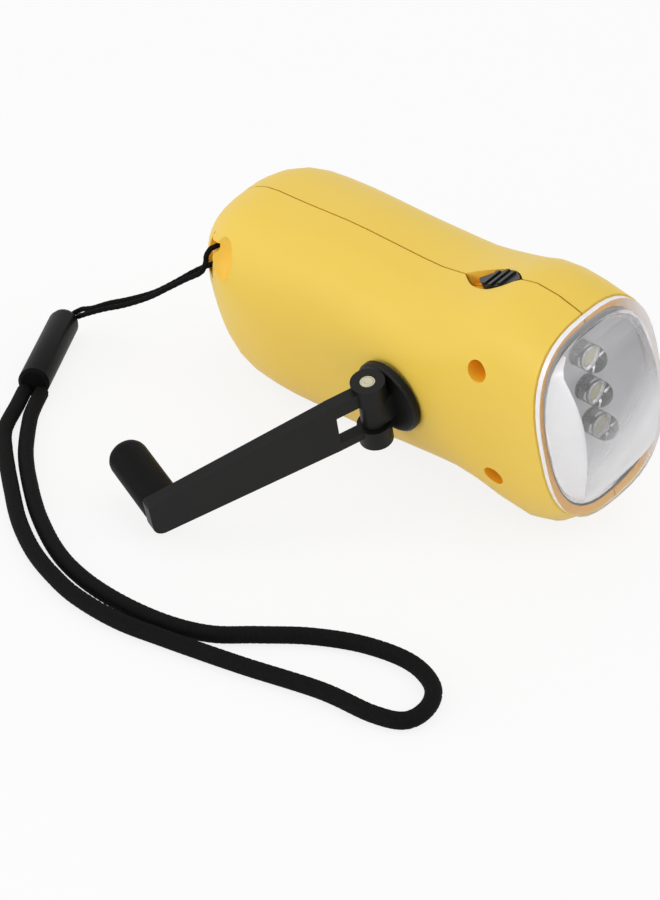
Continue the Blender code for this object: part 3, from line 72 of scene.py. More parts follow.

# The lens: where its rim ends in front, and the share of white painted as highlight on the rim and as
# reflection on the side facets and the front
RIM_FRONT_X = TORCH_PLACE.x + 101.35 * MM
RIM_SOFTNESS = 0.1 * MM
RIM_PAINTED_HIGHLIGHT = 0.85
RIM_FACE_PAINTED_HIGHLIGHT = 0.04
RIM_FAR_PAINTED_HIGHLIGHT = 0.6
RIM_HIGHLIGHT_FROM = 13 * MM
RIM_HIGHLIGHT_TO = 23 * MM
FACET_PAINTED_REFLECTION = 0.80
FACET_FACING = 0.4
FRONT_PAINTED_REFLECTION = 0.04
LOW_FRONT_PAINTED_REFLECTION = 0.68
LENS_REFLECTION_SLOPE = (0.6 * TORCH_Y - 0.8 * TORCH_Z).normalized()
LENS_REFLECTION_FROM = -20 * MM
LENS_REFLECTION_FULL = -6 * MM
PAINTED_LIGHT_COLOR = (0.94, 0.935, 0.955)
PAINTED_LIGHT_ROUGHNESS = 0.22
PAINTED_LIGHT_PATCH = 9.0
PAINTED_LIGHT_DRIFT = (0.85, 1.1)

# The bowl: shade painted as a duller colour towards its top, with where it is fullest and where it ends
BOWL_PAINTED_SHADE_SLOPE = (0.30 * TORCH_Y - 0.95 * TORCH_Z).normalized()
BOWL_PAINTED_SHADE_FULL = -38 * MM
BOWL_PAINTED_SHADE_END = -14 * MM
BOWL_PAINTED_SHADE_COLOR = (0.50, 0.505, 0.515)
BOWL_METALLIC = 0.4

# Moulded plastic: its grain, and how handling has rubbed its edges, with reach and break-up in millimetres
FINE_GRAIN_SHARE = 0.4
SOFT_GRAIN_RATIO = 9
GRAIN_STRENGTH = 0.6
PLASTIC_DRIFT = 0.05
RUB_REACH = 0.35
RUB_BREAK_SIZE = 10 / 9
RUB_PALER = 1.25
RUB_LIFT = 0.03
RUB_POLISH = 0.15

# Metal, clear plastic, cord and striped plates, with patches, marks and threads in millimetres
METAL_PATCH = 6.0
METAL_DRIFT = 0.08
LINE_DEPTH = 0.004 * MM
LINE_STRENGTH = 0.5
ACRYLIC_IOR = 1.49
RESIN_IOR = 1.5
CLEAR_PATCH = 20.0
CLEAR_DRIFT = 0.03
FLOW_MARK = 1.2
SOFT_FLOW_MARK = 8
FLOW_DEPTH = 0.004 * MM
FLOW_STRENGTH = 0.4
LIGHT_LET_IN = 0.98
THREAD_SIZE = 0.12
THREAD_STRETCH = 0.4
THREAD_PATCH = 0.6
THREAD_DEPTH = 0.03 * MM
THREAD_STRENGTH = 0.8
CORD_ROUGHNESS = (0.62, 0.86)
CORD_SPECULAR = 0.04
STRIPED_PATCH = 5
STRIPED_DRIFT = 0.08
STRIPED_PALER = 1.6

# How the solids are shaded
SHARPEST_SMOOTH = math.radians(32)
WELD_REACH = 0.002 * MM

# Cords: the routes that the solids follow
GROUND_GAP = 0.05 * MM
WRIST_CORD_RADIUS = 1.5 * MM
STRING_RADIUS = 0.55 * MM
wrist_route = (
    (-27.4, -46.6), (-23.6, -51.2), (-19.7, -55.3), (-9.9, -63.7), (0.8, -70.7),
    (10.6, -76.1), (21.6, -80.6), (31.3, -82.4), (41.1, -82.1), (50.3, -80.0),
    (57.2, -76.2), (62.1, -70.1), (67.9, -63.2), (75.3, -57.8), (83.6, -55.4),
    (90.8, -57.3), (94.9, -62.2), (95.5, -67.9), (90.8, -70.9), (80.8, -73.0),
    (67.2, -78.5), (53.1, -83.5), (44.5, -86.1), (35.3, -86.9), (27.9, -86.1),
    (18.8, -83.8), (8.9, -79.5), (-1.3, -73.5), (-13.0, -66.1), (-19.9, -60.9),
    (-26.2, -53.2), (-30.0, -48.6),
)
string_route = (
    (-46.8, -23.6, 4.1), (-45.6, -22.4, 5.2), (-42.6, -22.0, 6.6), (-38.8, -20.9, 8.9),
    (-34.1, -19.5, 11.3), (-28.7, -18.0, 14.5), (-24.3, -16.7, 18.0), (-20.7, -15.4, 21.2),
    (-18.2, -14.2, 23.2), (-16.5, -13.1, 24.1), (-15.2, -11.7, 24.2), (-14.0, -11.0, 25.5),
    (-13.4, -11.2, 27.4), (-13.6, -12.4, 28.8), (-14.4, -14.1, 29.2), (-15.4, -15.6, 28.3),
    (-15.9, -16.1, 26.8), (-16.1, -16.1, 25.0), (-17.2, -16.3, 22.8), (-20.3, -17.3, 20.4),
    (-23.9, -18.3, 17.5), (-28.3, -19.6, 14.0), (-33.7, -21.1, 10.6), (-38.4, -22.5, 8.2),
    (-42.2, -23.4, 6.0), (-45.2, -23.7, 4.1),
)


def on_torch(x, y, z):
    """A point of the torch's own axes, in the scene's."""
    return TORCH_PLACE + TORCH_X * x + TORCH_Y * y + TORCH_Z * z


# Shader building

FLOAT, COLOR = "NodeSocketFloat", "NodeSocketColor"


def place(tree, kind, **settings):
    """A new node with its settings, each one a property or an input of that name."""
    node = tree.nodes.new(kind)
    for name, value in settings.items():
        if hasattr(node, name):
            setattr(node, name, value)
        else:
            node.inputs[name.replace("_", " ").title()].default_value = value
    return node


def feed(tree, socket, value):
    """Links a socket to another one, or sets it to a plain value."""
    if isinstance(value, bpy.types.NodeSocket):
        tree.links.new(value, socket)
    else:
        socket.default_value = value


def calculate(tree, operation, *values):
    """A maths node on sockets or numbers: its result socket."""
    node = place(tree, "ShaderNodeMath", operation=operation)
    for socket, value in zip(node.inputs, values):
        feed(tree, socket, value)
    return node.outputs[0]


def between(tree, share, low, high):
    """A number from low to high as share goes from 0 to 1: its socket."""
    node = place(tree, "ShaderNodeMapRange", to_min=low, to_max=high)
    feed(tree, node.inputs["Value"], share)
    return node.outputs[0]


def blend(tree, share, color, other):
    """A colour that goes from one to the other as share goes from 0 to 1: its socket."""
    node = place(tree, "ShaderNodeMix", data_type="RGBA")
    for number, value in ((0, share), (6, color), (7, other)):
        feed(tree, node.inputs[number], value)
    return node.outputs[2]


def blend_shaders(tree, share, shader, other):
    """A surface that goes from one shader to the other as share goes from 0 to 1: its socket."""
    node = place(tree, "ShaderNodeMixShader")
    for socket, value in zip(node.inputs, (share, shader, other)):
        feed(tree, socket, value)
    return node.outputs[0]


def on_object(tree):
    """The place on the object: its socket."""
    return place(tree, "ShaderNodeTexCoord").outputs["Object"]


def along(tree, source, direction):
    """How far a place or a normal lies along a direction: its socket."""
    node = place(tree, "ShaderNodeVectorMath", operation="DOT_PRODUCT")
    feed(tree, node.inputs[0], source)
    feed(tree, node.inputs[1], direction)
    return node.outputs["Value"]


def share_along(tree, direction, start, end):
    """A share that rises smoothly from 0 to 1 between two places along a direction: its socket."""
    node = place(tree, "ShaderNodeMapRange", interpolation_type="SMOOTHSTEP", from_min=start, from_max=end)
    feed(tree, node.inputs["Value"], along(tree, on_object(tree), direction))
    return node.outputs[0]


def noise(tree, size, where=None, **settings):
    """Noise with features of a size in millimetres: its socket."""
    node = place(tree, "ShaderNodeTexNoise", **settings)
    feed(tree, node.inputs["Vector"], on_object(tree) if where is None else where)
    feed(tree, node.inputs["Scale"], calculate(tree, "DIVIDE", 1 / MM, size))
    return node.outputs[0]


# Effects: node groups that several materials share, with sizes in millimetres


def effect(name, inputs, outputs):
    """An empty node group with named sockets: (group, its input node, its output node)."""
    tree = bpy.data.node_groups.new(name, "ShaderNodeTree")
    for label, (kind, value) in inputs.items():
        socket = tree.interface.new_socket(label, in_out="INPUT", socket_type=kind)
        socket.default_value = value
    for label, kind in outputs.items():
        tree.interface.new_socket(label, in_out="OUTPUT", socket_type=kind)
    return tree, tree.nodes.new("NodeGroupInput"), tree.nodes.new("NodeGroupOutput")


def grain_effect():
    """The fine texture of a moulding tool, as a height."""
    tree, given, made = effect(
        "moulded_grain", {"Grain Size": (FLOAT, 0.3), "Soft Size": (FLOAT, 3.0)}, {"Height": FLOAT}
    )
    fine = noise(tree, given.outputs["Grain Size"], detail=2.0)
    soft = noise(tree, given.outputs["Soft Size"], detail=1.0)
    height = calculate(tree, "ADD", calculate(tree, "MULTIPLY", fine, FINE_GRAIN_SHARE), soft)
    feed(tree, made.inputs["Height"], height)
    return tree


def drift_effect():
    """A slow drift of colour and gloss over a surface."""
    tree, given, made = effect(
        "tone_drift",
        {"Color": (COLOR, (1, 1, 1, 1)), "Other Color": (COLOR, (1, 1, 1, 1)), "Patch Size": (FLOAT, 12.0)},
        {"Color": COLOR, "Mask": FLOAT},
    )
    mask = noise(tree, given.outputs["Patch Size"], detail=3.0, roughness=0.6)
    feed(tree, made.inputs["Color"], blend(tree, mask, given.outputs["Color"], given.outputs["Other Color"]))
    feed(tree, made.inputs["Mask"], mask)
    return tree


def edge_effect():
    """Where handling has rubbed the edges, as a mask broken up by noise."""
    tree, given, made = effect("edge_rub", {"Reach": (FLOAT, 0.4), "Strength": (FLOAT, 1.0)}, {"Mask": FLOAT})
    rounded = place(tree, "ShaderNodeBevel", samples=6)
    feed(tree, rounded.inputs["Radius"], calculate(tree, "MULTIPLY", given.outputs["Reach"], MM))
    normal = place(tree, "ShaderNodeNewGeometry").outputs["Normal"]
    bent = calculate(tree, "SUBTRACT", 1, along(tree, rounded.outputs[0], normal))
    broken = calculate(tree, "MULTIPLY", bent, noise(tree, RUB_BREAK_SIZE, detail=2.0))
    strong = calculate(tree, "MULTIPLY", broken, given.outputs["Strength"])
    feed(tree, made.inputs["Mask"], calculate(tree, "MINIMUM", strong, 1))
    return tree


def line_effect():
    """Fine lines of wiping or turning, stretched along one axis."""
    tree, given, made = effect(
        "fine_lines", {"Line Size": (FLOAT, 0.1), "Stretch": (FLOAT, 0.04)}, {"Lines": FLOAT}
    )
    stretch = place(tree, "ShaderNodeCombineXYZ", x=1.0, y=1.0)
    feed(tree, stretch.inputs["Z"], given.outputs["Stretch"])
    spread = place(tree, "ShaderNodeVectorMath", operation="MULTIPLY")
    feed(tree, spread.inputs[0], on_object(tree))
    feed(tree, spread.inputs[1], stretch.outputs[0])
    lines = noise(tree, given.outputs["Line Size"], where=spread.outputs[0], detail=2.0)
    feed(tree, made.inputs["Lines"], lines)
    return tree


EFFECTS = {
    "grain": grain_effect(),
    "drift": drift_effect(),
    "rub": edge_effect(),
    "lines": line_effect(),
}


def use(tree, effect_name, **values):
    """An effect placed in a material with its own numbers and colours."""
    node = tree.nodes.new("ShaderNodeGroup")
    node.node_tree = EFFECTS[effect_name]
    for name, value in values.items():
        node.inputs[name.replace("_", " ").title()].default_value = value
    return node


# Finishes


def rgb(color):
    return (*color, 1)


def bump(tree, height, depth, strength):
    """A normal that a height bends: its socket."""
    node = place(tree, "ShaderNodeBump", distance=depth, strength=strength)
    feed(tree, node.inputs["Height"], height)
    return node.outputs[0]


def blank(name):
    """A new material: (material, node tree, Principled shader)."""
    made = bpy.data.materials.new(name)
    made.use_nodes = True
    return made, made.node_tree, made.node_tree.nodes["Principled BSDF"]


def finish(tree, shader, color, rough, normal=None):
    """Gives a Principled shader its changing colour, roughness and normal."""
    feed(tree, shader.inputs["Base Color"], color)
    feed(tree, shader.inputs["Roughness"], rough)
    if normal is not None:
        feed(tree, shader.inputs["Normal"], normal)


def plastic(name, color, other, rough, grain=0.25, depth=0.01, patch=12.0, rub=0.0, specular=0.5):
    """Moulded plastic: drifting tone, tool grain, and edges that handling has polished."""
    made, tree, shader = blank(name)
    drift = use(tree, "drift", color=rgb(color), other_color=rgb(other), patch_size=patch)
    grains = use(tree, "grain", grain_size=grain, soft_size=grain * SOFT_GRAIN_RATIO)
    gloss = between(tree, drift.outputs["Mask"], rough - PLASTIC_DRIFT, rough + PLASTIC_DRIFT)
    tone = drift.outputs["Color"]
    if rub:
        rubbed = use(tree, "rub", reach=RUB_REACH, strength=rub).outputs["Mask"]
        tone = blend(tree, rubbed, tone, rgb([min(1, c * RUB_PALER + RUB_LIFT) for c in color]))
        gloss = calculate(tree, "SUBTRACT", gloss, calculate(tree, "MULTIPLY", rubbed, RUB_POLISH))
    finish(tree, shader, tone, gloss, bump(tree, grains.outputs["Height"], depth * MM, GRAIN_STRENGTH))
    shader.inputs["Specular IOR Level"].default_value = specular
    return made


def body_plastic():
    """The housing's plastic, with shade painted in deeper orange in its hollows and under the lens's flange.
    """
    made = plastic("orange_body_plastic", BODY_COLOR, BODY_DEEP, rough=0.42, grain=0.22, depth=0.004,
                   patch=26, specular=0.22)
    tree = made.node_tree
    base = tree.nodes["Principled BSDF"].inputs["Base Color"]
    tone = base.links[0].from_socket
    # Painted shade: a deeper orange in the hollows that local occlusion finds, and on the front face close
    # under the lens's flange
    open_air = place(tree, "ShaderNodeAmbientOcclusion", samples=8, only_local=True, distance=PAINTED_SHADE_REACH)
    depth = calculate(tree, "SUBTRACT", 1, open_air.outputs["AO"])
    hollow_painted_shade = calculate(tree, "MINIMUM", calculate(tree, "MULTIPLY", depth, PAINTED_SHADE_STRENGTH), 1)
    lid = place(tree, "ShaderNodeAmbientOcclusion", samples=8, distance=LID_PAINTED_SHADE_REACH)
    normal = place(tree, "ShaderNodeNewGeometry").outputs["True Normal"]
    front = calculate(tree, "GREATER_THAN", along(tree, normal, TORCH_X), FRONT_FACING)
    lid_painted_shade = calculate(tree, "LESS_THAN", lid.outputs["AO"], LID_PAINTED_SHADE_BELOW)
    shade = calculate(tree, "MAXIMUM", hollow_painted_shade, calculate(tree, "MULTIPLY", front, lid_painted_shade))
    feed(tree, base, blend(tree, shade, tone, rgb(BODY_PAINTED_SHADE)))
    return made


def metal(name, color, other, rough, line=0.12, stretch=0.06):
    """Bright metal with fine lines of its making and a slow drift of tone."""
    made, tree, shader = blank(name)
    drift = use(tree, "drift", color=rgb(color), other_color=rgb(other), patch_size=METAL_PATCH)
    lines = use(tree, "lines", line_size=line, stretch=stretch).outputs["Lines"]
    gloss = between(tree, lines, rough - METAL_DRIFT, rough + METAL_DRIFT)
    finish(tree, shader, drift.outputs["Color"], gloss, bump(tree, lines, LINE_DEPTH, LINE_STRENGTH))
    shader.inputs["Metallic"].default_value = 1
    return made


def bowl_metal():
    """Metallised bowl, with shade painted duller towards the top corner nearest the crank, none at the far
    low one.
    """
    made = metal("metallised_reflector", (0.97, 0.97, 0.98), (0.93, 0.93, 0.945), rough=0.34, line=4.0,
                 stretch=1)
    tree = made.node_tree
    shader = tree.nodes["Principled BSDF"]
    base = shader.inputs["Base Color"]
    # Painted shade: the colour dulls towards the top corner nearest the crank
    unshaded_share = share_along(tree, BOWL_PAINTED_SHADE_SLOPE, BOWL_PAINTED_SHADE_FULL, BOWL_PAINTED_SHADE_END)
    feed(tree, base, blend(tree, unshaded_share, rgb(BOWL_PAINTED_SHADE_COLOR), base.links[0].from_socket))
    shader.inputs["Metallic"].default_value = BOWL_METALLIC
    return made


def resin(name, color, other, rough, ior):
    """Clear moulded plastic or resin with faint flow marks, not yet ended: (material, node tree, shader)."""
    made, tree, shader = blank(name)
    drift = use(tree, "drift", color=rgb(color), other_color=rgb(other), patch_size=CLEAR_PATCH)
    marks = use(tree, "grain", grain_size=FLOW_MARK, soft_size=SOFT_FLOW_MARK)
    gloss = between(tree, drift.outputs["Mask"], rough, rough + CLEAR_DRIFT)
    relief = bump(tree, marks.outputs["Height"], FLOW_DEPTH, FLOW_STRENGTH)
    finish(tree, shader, drift.outputs["Color"], gloss, relief)
    shader.inputs["Transmission Weight"].default_value = 1
    shader.inputs["IOR"].default_value = ior
    return made, tree, shader


def let_light_in(tree, surface):
    """Ends a clear material so that most of the light that meets it goes on to what lies behind."""
    from_lamp = place(tree, "ShaderNodeLightPath").outputs["Is Shadow Ray"]
    air = place(tree, "ShaderNodeBsdfTransparent")
    air.inputs["Color"].default_value = rgb([LIGHT_LET_IN] * 3)
    ended = blend_shaders(tree, from_lamp, surface, air.outputs[0])
    feed(tree, tree.nodes["Material Output"].inputs["Surface"], ended)


def clear(name, color, other, rough, ior):
    """Clear moulded plastic or resin."""
    made, tree, shader = resin(name, color, other, rough, ior)
    let_light_in(tree, shader.outputs[0])
    return made


def lens_plastic():
    """The lens: clear in front, with white painted as reflection towards its low far side and on its side
    facets, and as highlight on its rim.
    """
    made, tree, clear_shader = resin(
        "lens_clear_plastic", (0.985, 0.98, 0.985), (0.975, 0.97, 0.98), rough=0.02, ior=ACRYLIC_IOR)
    # Painted light: white mixed over the clear lens, as highlight on the rim and reflection on the facets and
    # low front
    painted_light_shader = place(tree, "ShaderNodeBsdfPrincipled", base_color=rgb(PAINTED_LIGHT_COLOR), roughness=PAINTED_LIGHT_ROUGHNESS)
    normal = place(tree, "ShaderNodeNewGeometry").outputs["True Normal"]
    front, side = (calculate(tree, "ABSOLUTE", along(tree, normal, axis)) for axis in (TORCH_X, TORCH_Y))

    on_rim = share_along(tree, TORCH_X, RIM_FRONT_X + RIM_SOFTNESS, RIM_FRONT_X)
    on_dome = calculate(tree, "SUBTRACT", 1, on_rim)
    far = calculate(tree, "MULTIPLY", share_along(tree, TORCH_Y, RIM_HIGHLIGHT_FROM, RIM_HIGHLIGHT_TO), RIM_FAR_PAINTED_HIGHLIGHT)
    rim = calculate(tree, "MAXIMUM", between(tree, front, RIM_PAINTED_HIGHLIGHT, RIM_FACE_PAINTED_HIGHLIGHT), far)
    facet_reflection = calculate(tree, "MULTIPLY", calculate(tree, "GREATER_THAN", side, FACET_FACING), FACET_PAINTED_REFLECTION)
    front_reflection = between(tree, share_along(tree, LENS_REFLECTION_SLOPE, LENS_REFLECTION_FROM, LENS_REFLECTION_FULL), FRONT_PAINTED_REFLECTION, LOW_FRONT_PAINTED_REFLECTION)

    painted_light_share = calculate(tree, "ADD", calculate(tree, "MULTIPLY", on_rim, rim),
                     calculate(tree, "MULTIPLY", on_dome, facet_reflection))
    painted_light_share = calculate(tree, "MAXIMUM", painted_light_share, calculate(tree, "MULTIPLY", front_reflection, on_dome))
    flow = noise(tree, PAINTED_LIGHT_PATCH, detail=3.0, roughness=0.6)
    painted_light_share = calculate(tree, "MULTIPLY", painted_light_share, between(tree, flow, *PAINTED_LIGHT_DRIFT))
    let_light_in(tree, blend_shaders(tree, painted_light_share, clear_shader.outputs[0], painted_light_shader.outputs[0]))
    return made


def woven(name, color, thread):
    """Black synthetic cord: the plait is in the mesh, and this adds its threads."""
    made, tree, shader = blank(name)
    drift = use(tree, "drift", color=rgb(color), other_color=rgb(thread), patch_size=THREAD_PATCH)
    threads = use(tree, "lines", line_size=THREAD_SIZE, stretch=THREAD_STRETCH).outputs["Lines"]
    gloss = between(tree, drift.outputs["Mask"], *CORD_ROUGHNESS)
    finish(tree, shader, drift.outputs["Color"], gloss, bump(tree, threads, THREAD_DEPTH, THREAD_STRENGTH))
    shader.inputs["Specular IOR Level"].default_value = CORD_SPECULAR
    return made


def striped(name, color, stripe, spacing, thickness, axis, rough, metallic=0.0):
    """A dark plate with evenly spaced thin lines across one of the torch's own axes."""
    made, tree, shader = blank(name)
    turns = calculate(tree, "DIVIDE", along(tree, on_object(tree), axis), spacing)
    on_line = calculate(tree, "LESS_THAN", calculate(tree, "FRACT", turns), thickness / spacing)
    paler = rgb([c * STRIPED_PALER for c in color])
    drift = use(tree, "drift", color=rgb(color), other_color=paler, patch_size=STRIPED_PATCH)
    gloss = between(tree, drift.outputs["Mask"], rough, rough + STRIPED_DRIFT)
    finish(tree, shader, blend(tree, on_line, drift.outputs["Color"], rgb(stripe)), gloss)
    shader.inputs["Metallic"].default_value = metallic
    return made


looks = {
    "body": body_plastic(),
    "crank": plastic("crank_black_plastic", (0.006, 0.006, 0.006), (0.010, 0.010, 0.010), rough=0.44,
                     grain=0.2, rub=0.6, specular=0.16),
    "knob": plastic("knob_black_plastic", (0.005, 0.005, 0.005), (0.008, 0.008, 0.008), rough=0.52,
                    rub=0.5, specular=0.05),
    "switch": plastic("switch_black_plastic", (0.005, 0.005, 0.005), (0.008, 0.008, 0.008), rough=0.38,
                      grain=0.2, rub=0.7, specular=0.3),
    "sleeve": plastic("sleeve_black_plastic", (0.004, 0.004, 0.004), (0.007, 0.007, 0.007), rough=0.40,
                      grain=0.4, rub=0.5, specular=0.03),
    "lens": lens_plastic(),
    "led": clear("lamp_clear_resin", (0.99, 0.99, 0.985), (0.98, 0.98, 0.97), rough=0.02, ior=RESIN_IOR),
    "window": clear("solar_window_acrylic", (0.97, 0.975, 0.98), (0.95, 0.96, 0.97), rough=0.03,
                    ior=ACRYLIC_IOR),
    "reflector": bowl_metal(),
    "steel": metal("bright_screw_steel", (0.60, 0.60, 0.61), (0.50, 0.50, 0.52), rough=0.28),
    "rivet": metal("cream_plated_pin", (0.60, 0.57, 0.44), (0.52, 0.49, 0.37), rough=0.42),
    "gear": plastic("white_gear_plastic", (0.78, 0.77, 0.72), (0.72, 0.71, 0.66), rough=0.45, grain=0.3,
                    patch=4),
    "plate": plastic("grey_plate_plastic", (0.20, 0.20, 0.21), (0.16, 0.16, 0.17), rough=0.5, grain=0.3),
    "magnet": metal("sintered_magnet", (0.10, 0.10, 0.11), (0.06, 0.06, 0.07), rough=0.5, line=0.3,
                    stretch=1),
    "copper": striped("enamelled_copper", (0.62, 0.24, 0.08), (0.25, 0.08, 0.03), spacing=0.35 * MM,
                      thickness=0.08 * MM, axis=TORCH_Z, rough=0.3, metallic=1),
    "board": plastic("green_board_mask", (0.02, 0.16, 0.06), (0.03, 0.22, 0.09), rough=0.35, grain=0.8,
                     patch=2),
    "cell": metal("cell_nickel", (0.66, 0.65, 0.62), (0.56, 0.55, 0.52), rough=0.24),
    "shrink": plastic("green_shrink_film", (0.03, 0.26, 0.08), (0.02, 0.20, 0.06), rough=0.22, grain=1.0,
                      patch=5),
    "solar": striped("dark_solar_cell", (0.008, 0.012, 0.045), (0.45, 0.45, 0.46), spacing=2.4 * MM,
                     thickness=0.14 * MM, axis=TORCH_X, rough=0.2),
    "phosphor": plastic("yellow_phosphor", (0.66, 0.64, 0.42), (0.60, 0.57, 0.34), rough=0.6, grain=0.1,
                        patch=1),
    "cord": woven("black_wrist_cord", (0.004, 0.004, 0.004), (0.012, 0.012, 0.012)),
    "string": woven("black_string", (0.004, 0.004, 0.004), (0.010, 0.010, 0.010)),
}

finishes = {
    "body": ["crank_side_shell", "solar_side_shell"],
    "crank": ["crank_hub", "crank_arm"],
    "knob": ["crank_knob"],
    "switch": ["switch_knob"],
    "sleeve": ["cord_sleeve"],
    "lens": ["lens_cover"],
    "led": ["led_1", "led_2", "led_3"],
    "window": ["solar_window"],
    "reflector": ["reflector"],
    "rivet": ["hinge_pin"],
    "steel": ["hub_screw", "gear_axle_1", "gear_axle_2", "rotor_axle", "stator_core", "switch_body",
              "plate_screw_1", "plate_screw_2", "plate_screw_3", "case_screw_1", "case_screw_2"],
    "gear": ["drive_gear", "compound_gear_1", "compound_gear_2", "rotor_pinion"],
    "plate": ["gearbox_plate"],
    "magnet": ["magnet_rotor"],
    "copper": ["stator_coil"],
    "board": ["led_board", "main_circuit_board"],
    "cell": ["battery_cell_1", "battery_cell_2", "battery_cell_3"],
    "shrink": ["battery_sleeve"],
    "solar": ["solar_cell_panel"],
    "cord": ["wrist_loop"],
    "string": ["strap_string"],
}


def smoothing():
    """A modifier's node tree that shades a solid smooth, but for its edges sharper than an angle."""
    tree = bpy.data.node_groups.new("smooth_by_angle", "GeometryNodeTree")
    tree.interface.new_socket("Geometry", in_out="INPUT", socket_type="NodeSocketGeometry")
    tree.interface.new_socket("Geometry", in_out="OUTPUT", socket_type="NodeSocketGeometry")
    given, made = tree.nodes.new("NodeGroupInput"), tree.nodes.new("NodeGroupOutput")
    plain = place(tree, "GeometryNodeRemoveAttribute")
    plain.inputs["Name"].default_value = "custom_normal"
    angle = place(tree, "GeometryNodeInputMeshEdgeAngle")
    gentle = place(tree, "FunctionNodeCompare", data_type="FLOAT", operation="LESS_EQUAL")
    gentle.inputs[1].default_value = SHARPEST_SMOOTH
    faces = place(tree, "GeometryNodeSetShadeSmooth", domain="FACE")
    edges = place(tree, "GeometryNodeSetShadeSmooth", domain="EDGE")
    tree.links.new(given.outputs[0], plain.inputs[0])
    tree.links.new(plain.outputs[0], faces.inputs[0])
    tree.links.new(faces.outputs[0], edges.inputs[0])
    tree.links.new(angle.outputs["Unsigned Angle"], gentle.inputs[0])
    tree.links.new(gentle.outputs[0], edges.inputs["Shade Smooth"])
    tree.links.new(edges.outputs[0], made.inputs[0])
    return tree


smooth_tree = smoothing()
for look, nodes in finishes.items():
    for node in nodes:
        solid = frame["nodes"][node]
        solid.data.materials.clear()
        solid.data.materials.append(looks[look])
        weld = solid.modifiers.new("weld", "WELD")
        weld.merge_threshold = WELD_REACH
        shading = solid.modifiers.new("smooth", "NODES")
        shading.node_group = smooth_tree


# New pieces

CURVE_STEPS = 24
PATH_STEP = 6
TURNED_SIDES = 28

# How round a strand's crest is in each cord: the lower, the rounder
PLAIT_CREST = 0.6
TWIST_CREST = 0.7

# Profiles of (radius, height) in millimetres: a lamp's cup and what fills it, and a rolled rim of the pin
LAMP_CUP = ((0.5, 1.2), (0.5, 4.2), (1.35, 4.6), (1.45, 5.5), (1.25, 5.5), (0.75, 4.9))
LAMP_PHOSPHOR = ((0.7, 4.95), (1.15, 5.35), (0.9, 5.5), (0.3, 5.56))
PIN_RIM = ((0.5, -0.02), (0.58, 0.07), (0.75, 0.12), (0.95, 0.12), (1.1, 0.06), (1.18, -0.02))


def piece(name, points, faces, look, body):
    mesh = bpy.data.meshes.new(name)
    mesh.from_pydata([tuple(point) for point in points], [], faces)
    mesh.update()
    mesh.validate()
    mesh.materials.append(looks[look])
    mesh.polygons.foreach_set("use_smooth", [True] * len(mesh.polygons))
    made = bpy.data.objects.new(name, mesh)
    bpy.context.scene.collection.objects.link(made)
    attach(made, body)
    return made


def closed_tube(rings, sides):
    """Faces of a closed tube, for rings of points one after another."""
    faces = []
    for ring in range(rings - 1):
        for side in range(sides):
            a, b = ring * sides + side, ring * sides + (side + 1) % sides
            faces.append((a, b, b + sides, a + sides))
    first, last = tuple(range(sides)), range((rings - 1) * sides, rings * sides)
    return [*faces, first[::-1], tuple(last)]


def smooth_route(points, spacing):
    """Points along a smooth curve through the route, evenly spaced."""
    points = np.asarray(points, float) * MM
    points = np.vstack([2 * points[0] - points[1], points, 2 * points[-1] - points[-2]])
    fine = []
    for before, start, end, after in zip(points, points[1:], points[2:], points[3:]):
        for t in np.linspace(0, 1, CURVE_STEPS, endpoint=False):
            fine.append(0.5 * (2 * start + (end - before) * t
                               + (2 * before - 5 * start + 4 * end - after) * t**2
                               + (3 * start - before - 3 * end + after) * t**3))
    fine = np.array([*fine, points[-2]])
    run = np.concatenate([[0], np.cumsum(np.linalg.norm(np.diff(fine, axis=0), axis=1))])
    places = np.linspace(0, run[-1], max(2, round(run[-1] / spacing) + 1))
    return np.stack([np.interp(places, run, fine[:, axis]) for axis in range(3)], axis=1)


def carried_frames(places):
    """Two directions across the route at each place, carried along it without twisting."""
    along_route = np.gradient(places, axis=0)
    along_route /= np.linalg.norm(along_route, axis=1)[:, None]
    across = np.cross(along_route[0], (0, 0, 1.0))
    across /= np.linalg.norm(across)
    sides = []
    for direction in along_route:
        across = across - direction * across.dot(direction)
        across /= np.linalg.norm(across)
        sides.append((across, np.cross(direction, across)))
    return sides


def plaited(run, around, strands, pitch):
    """The height of a plait, 0 to 1, at a place along the cord and round it."""
    one, other = strands * around + run / pitch, strands * around - run / pitch
    over = (np.floor(one) + np.floor(other)) % 2
    ridge = np.where(over > 0, np.abs(np.sin(np.pi * one)), np.abs(np.sin(np.pi * other)))
    return ridge**PLAIT_CREST


def twisted(run, around, strands, pitch):
    """The height of a twist of strands, 0 to 1."""
    return np.abs(np.sin(np.pi * (strands * around + run / pitch))) ** TWIST_CREST


def cord_mesh(name, route, look, radius, spacing, sides, relief, surface, strands, pitch):
    """A cord with its strands in the mesh, along a route: (object, the line it follows)."""
    places = smooth_route(route, spacing)
    angles = np.linspace(0, 2 * np.pi, sides, endpoint=False)
    points = []
    for step, (place_on, (across, up)) in enumerate(zip(places, carried_frames(places))):
        heights = surface(step * spacing, angles / (2 * np.pi), strands, pitch)
        reach = radius - relief * (1 - heights)
        outward = np.outer(np.cos(angles) * reach, across) + np.outer(np.sin(angles) * reach, up)
        points.extend(place_on + outward)
    made = piece(name, points, closed_tube(len(places), sides), look, "torch")
    return made, [tuple(place_on) for place_on in places[::PATH_STEP]] + [tuple(places[-1])]


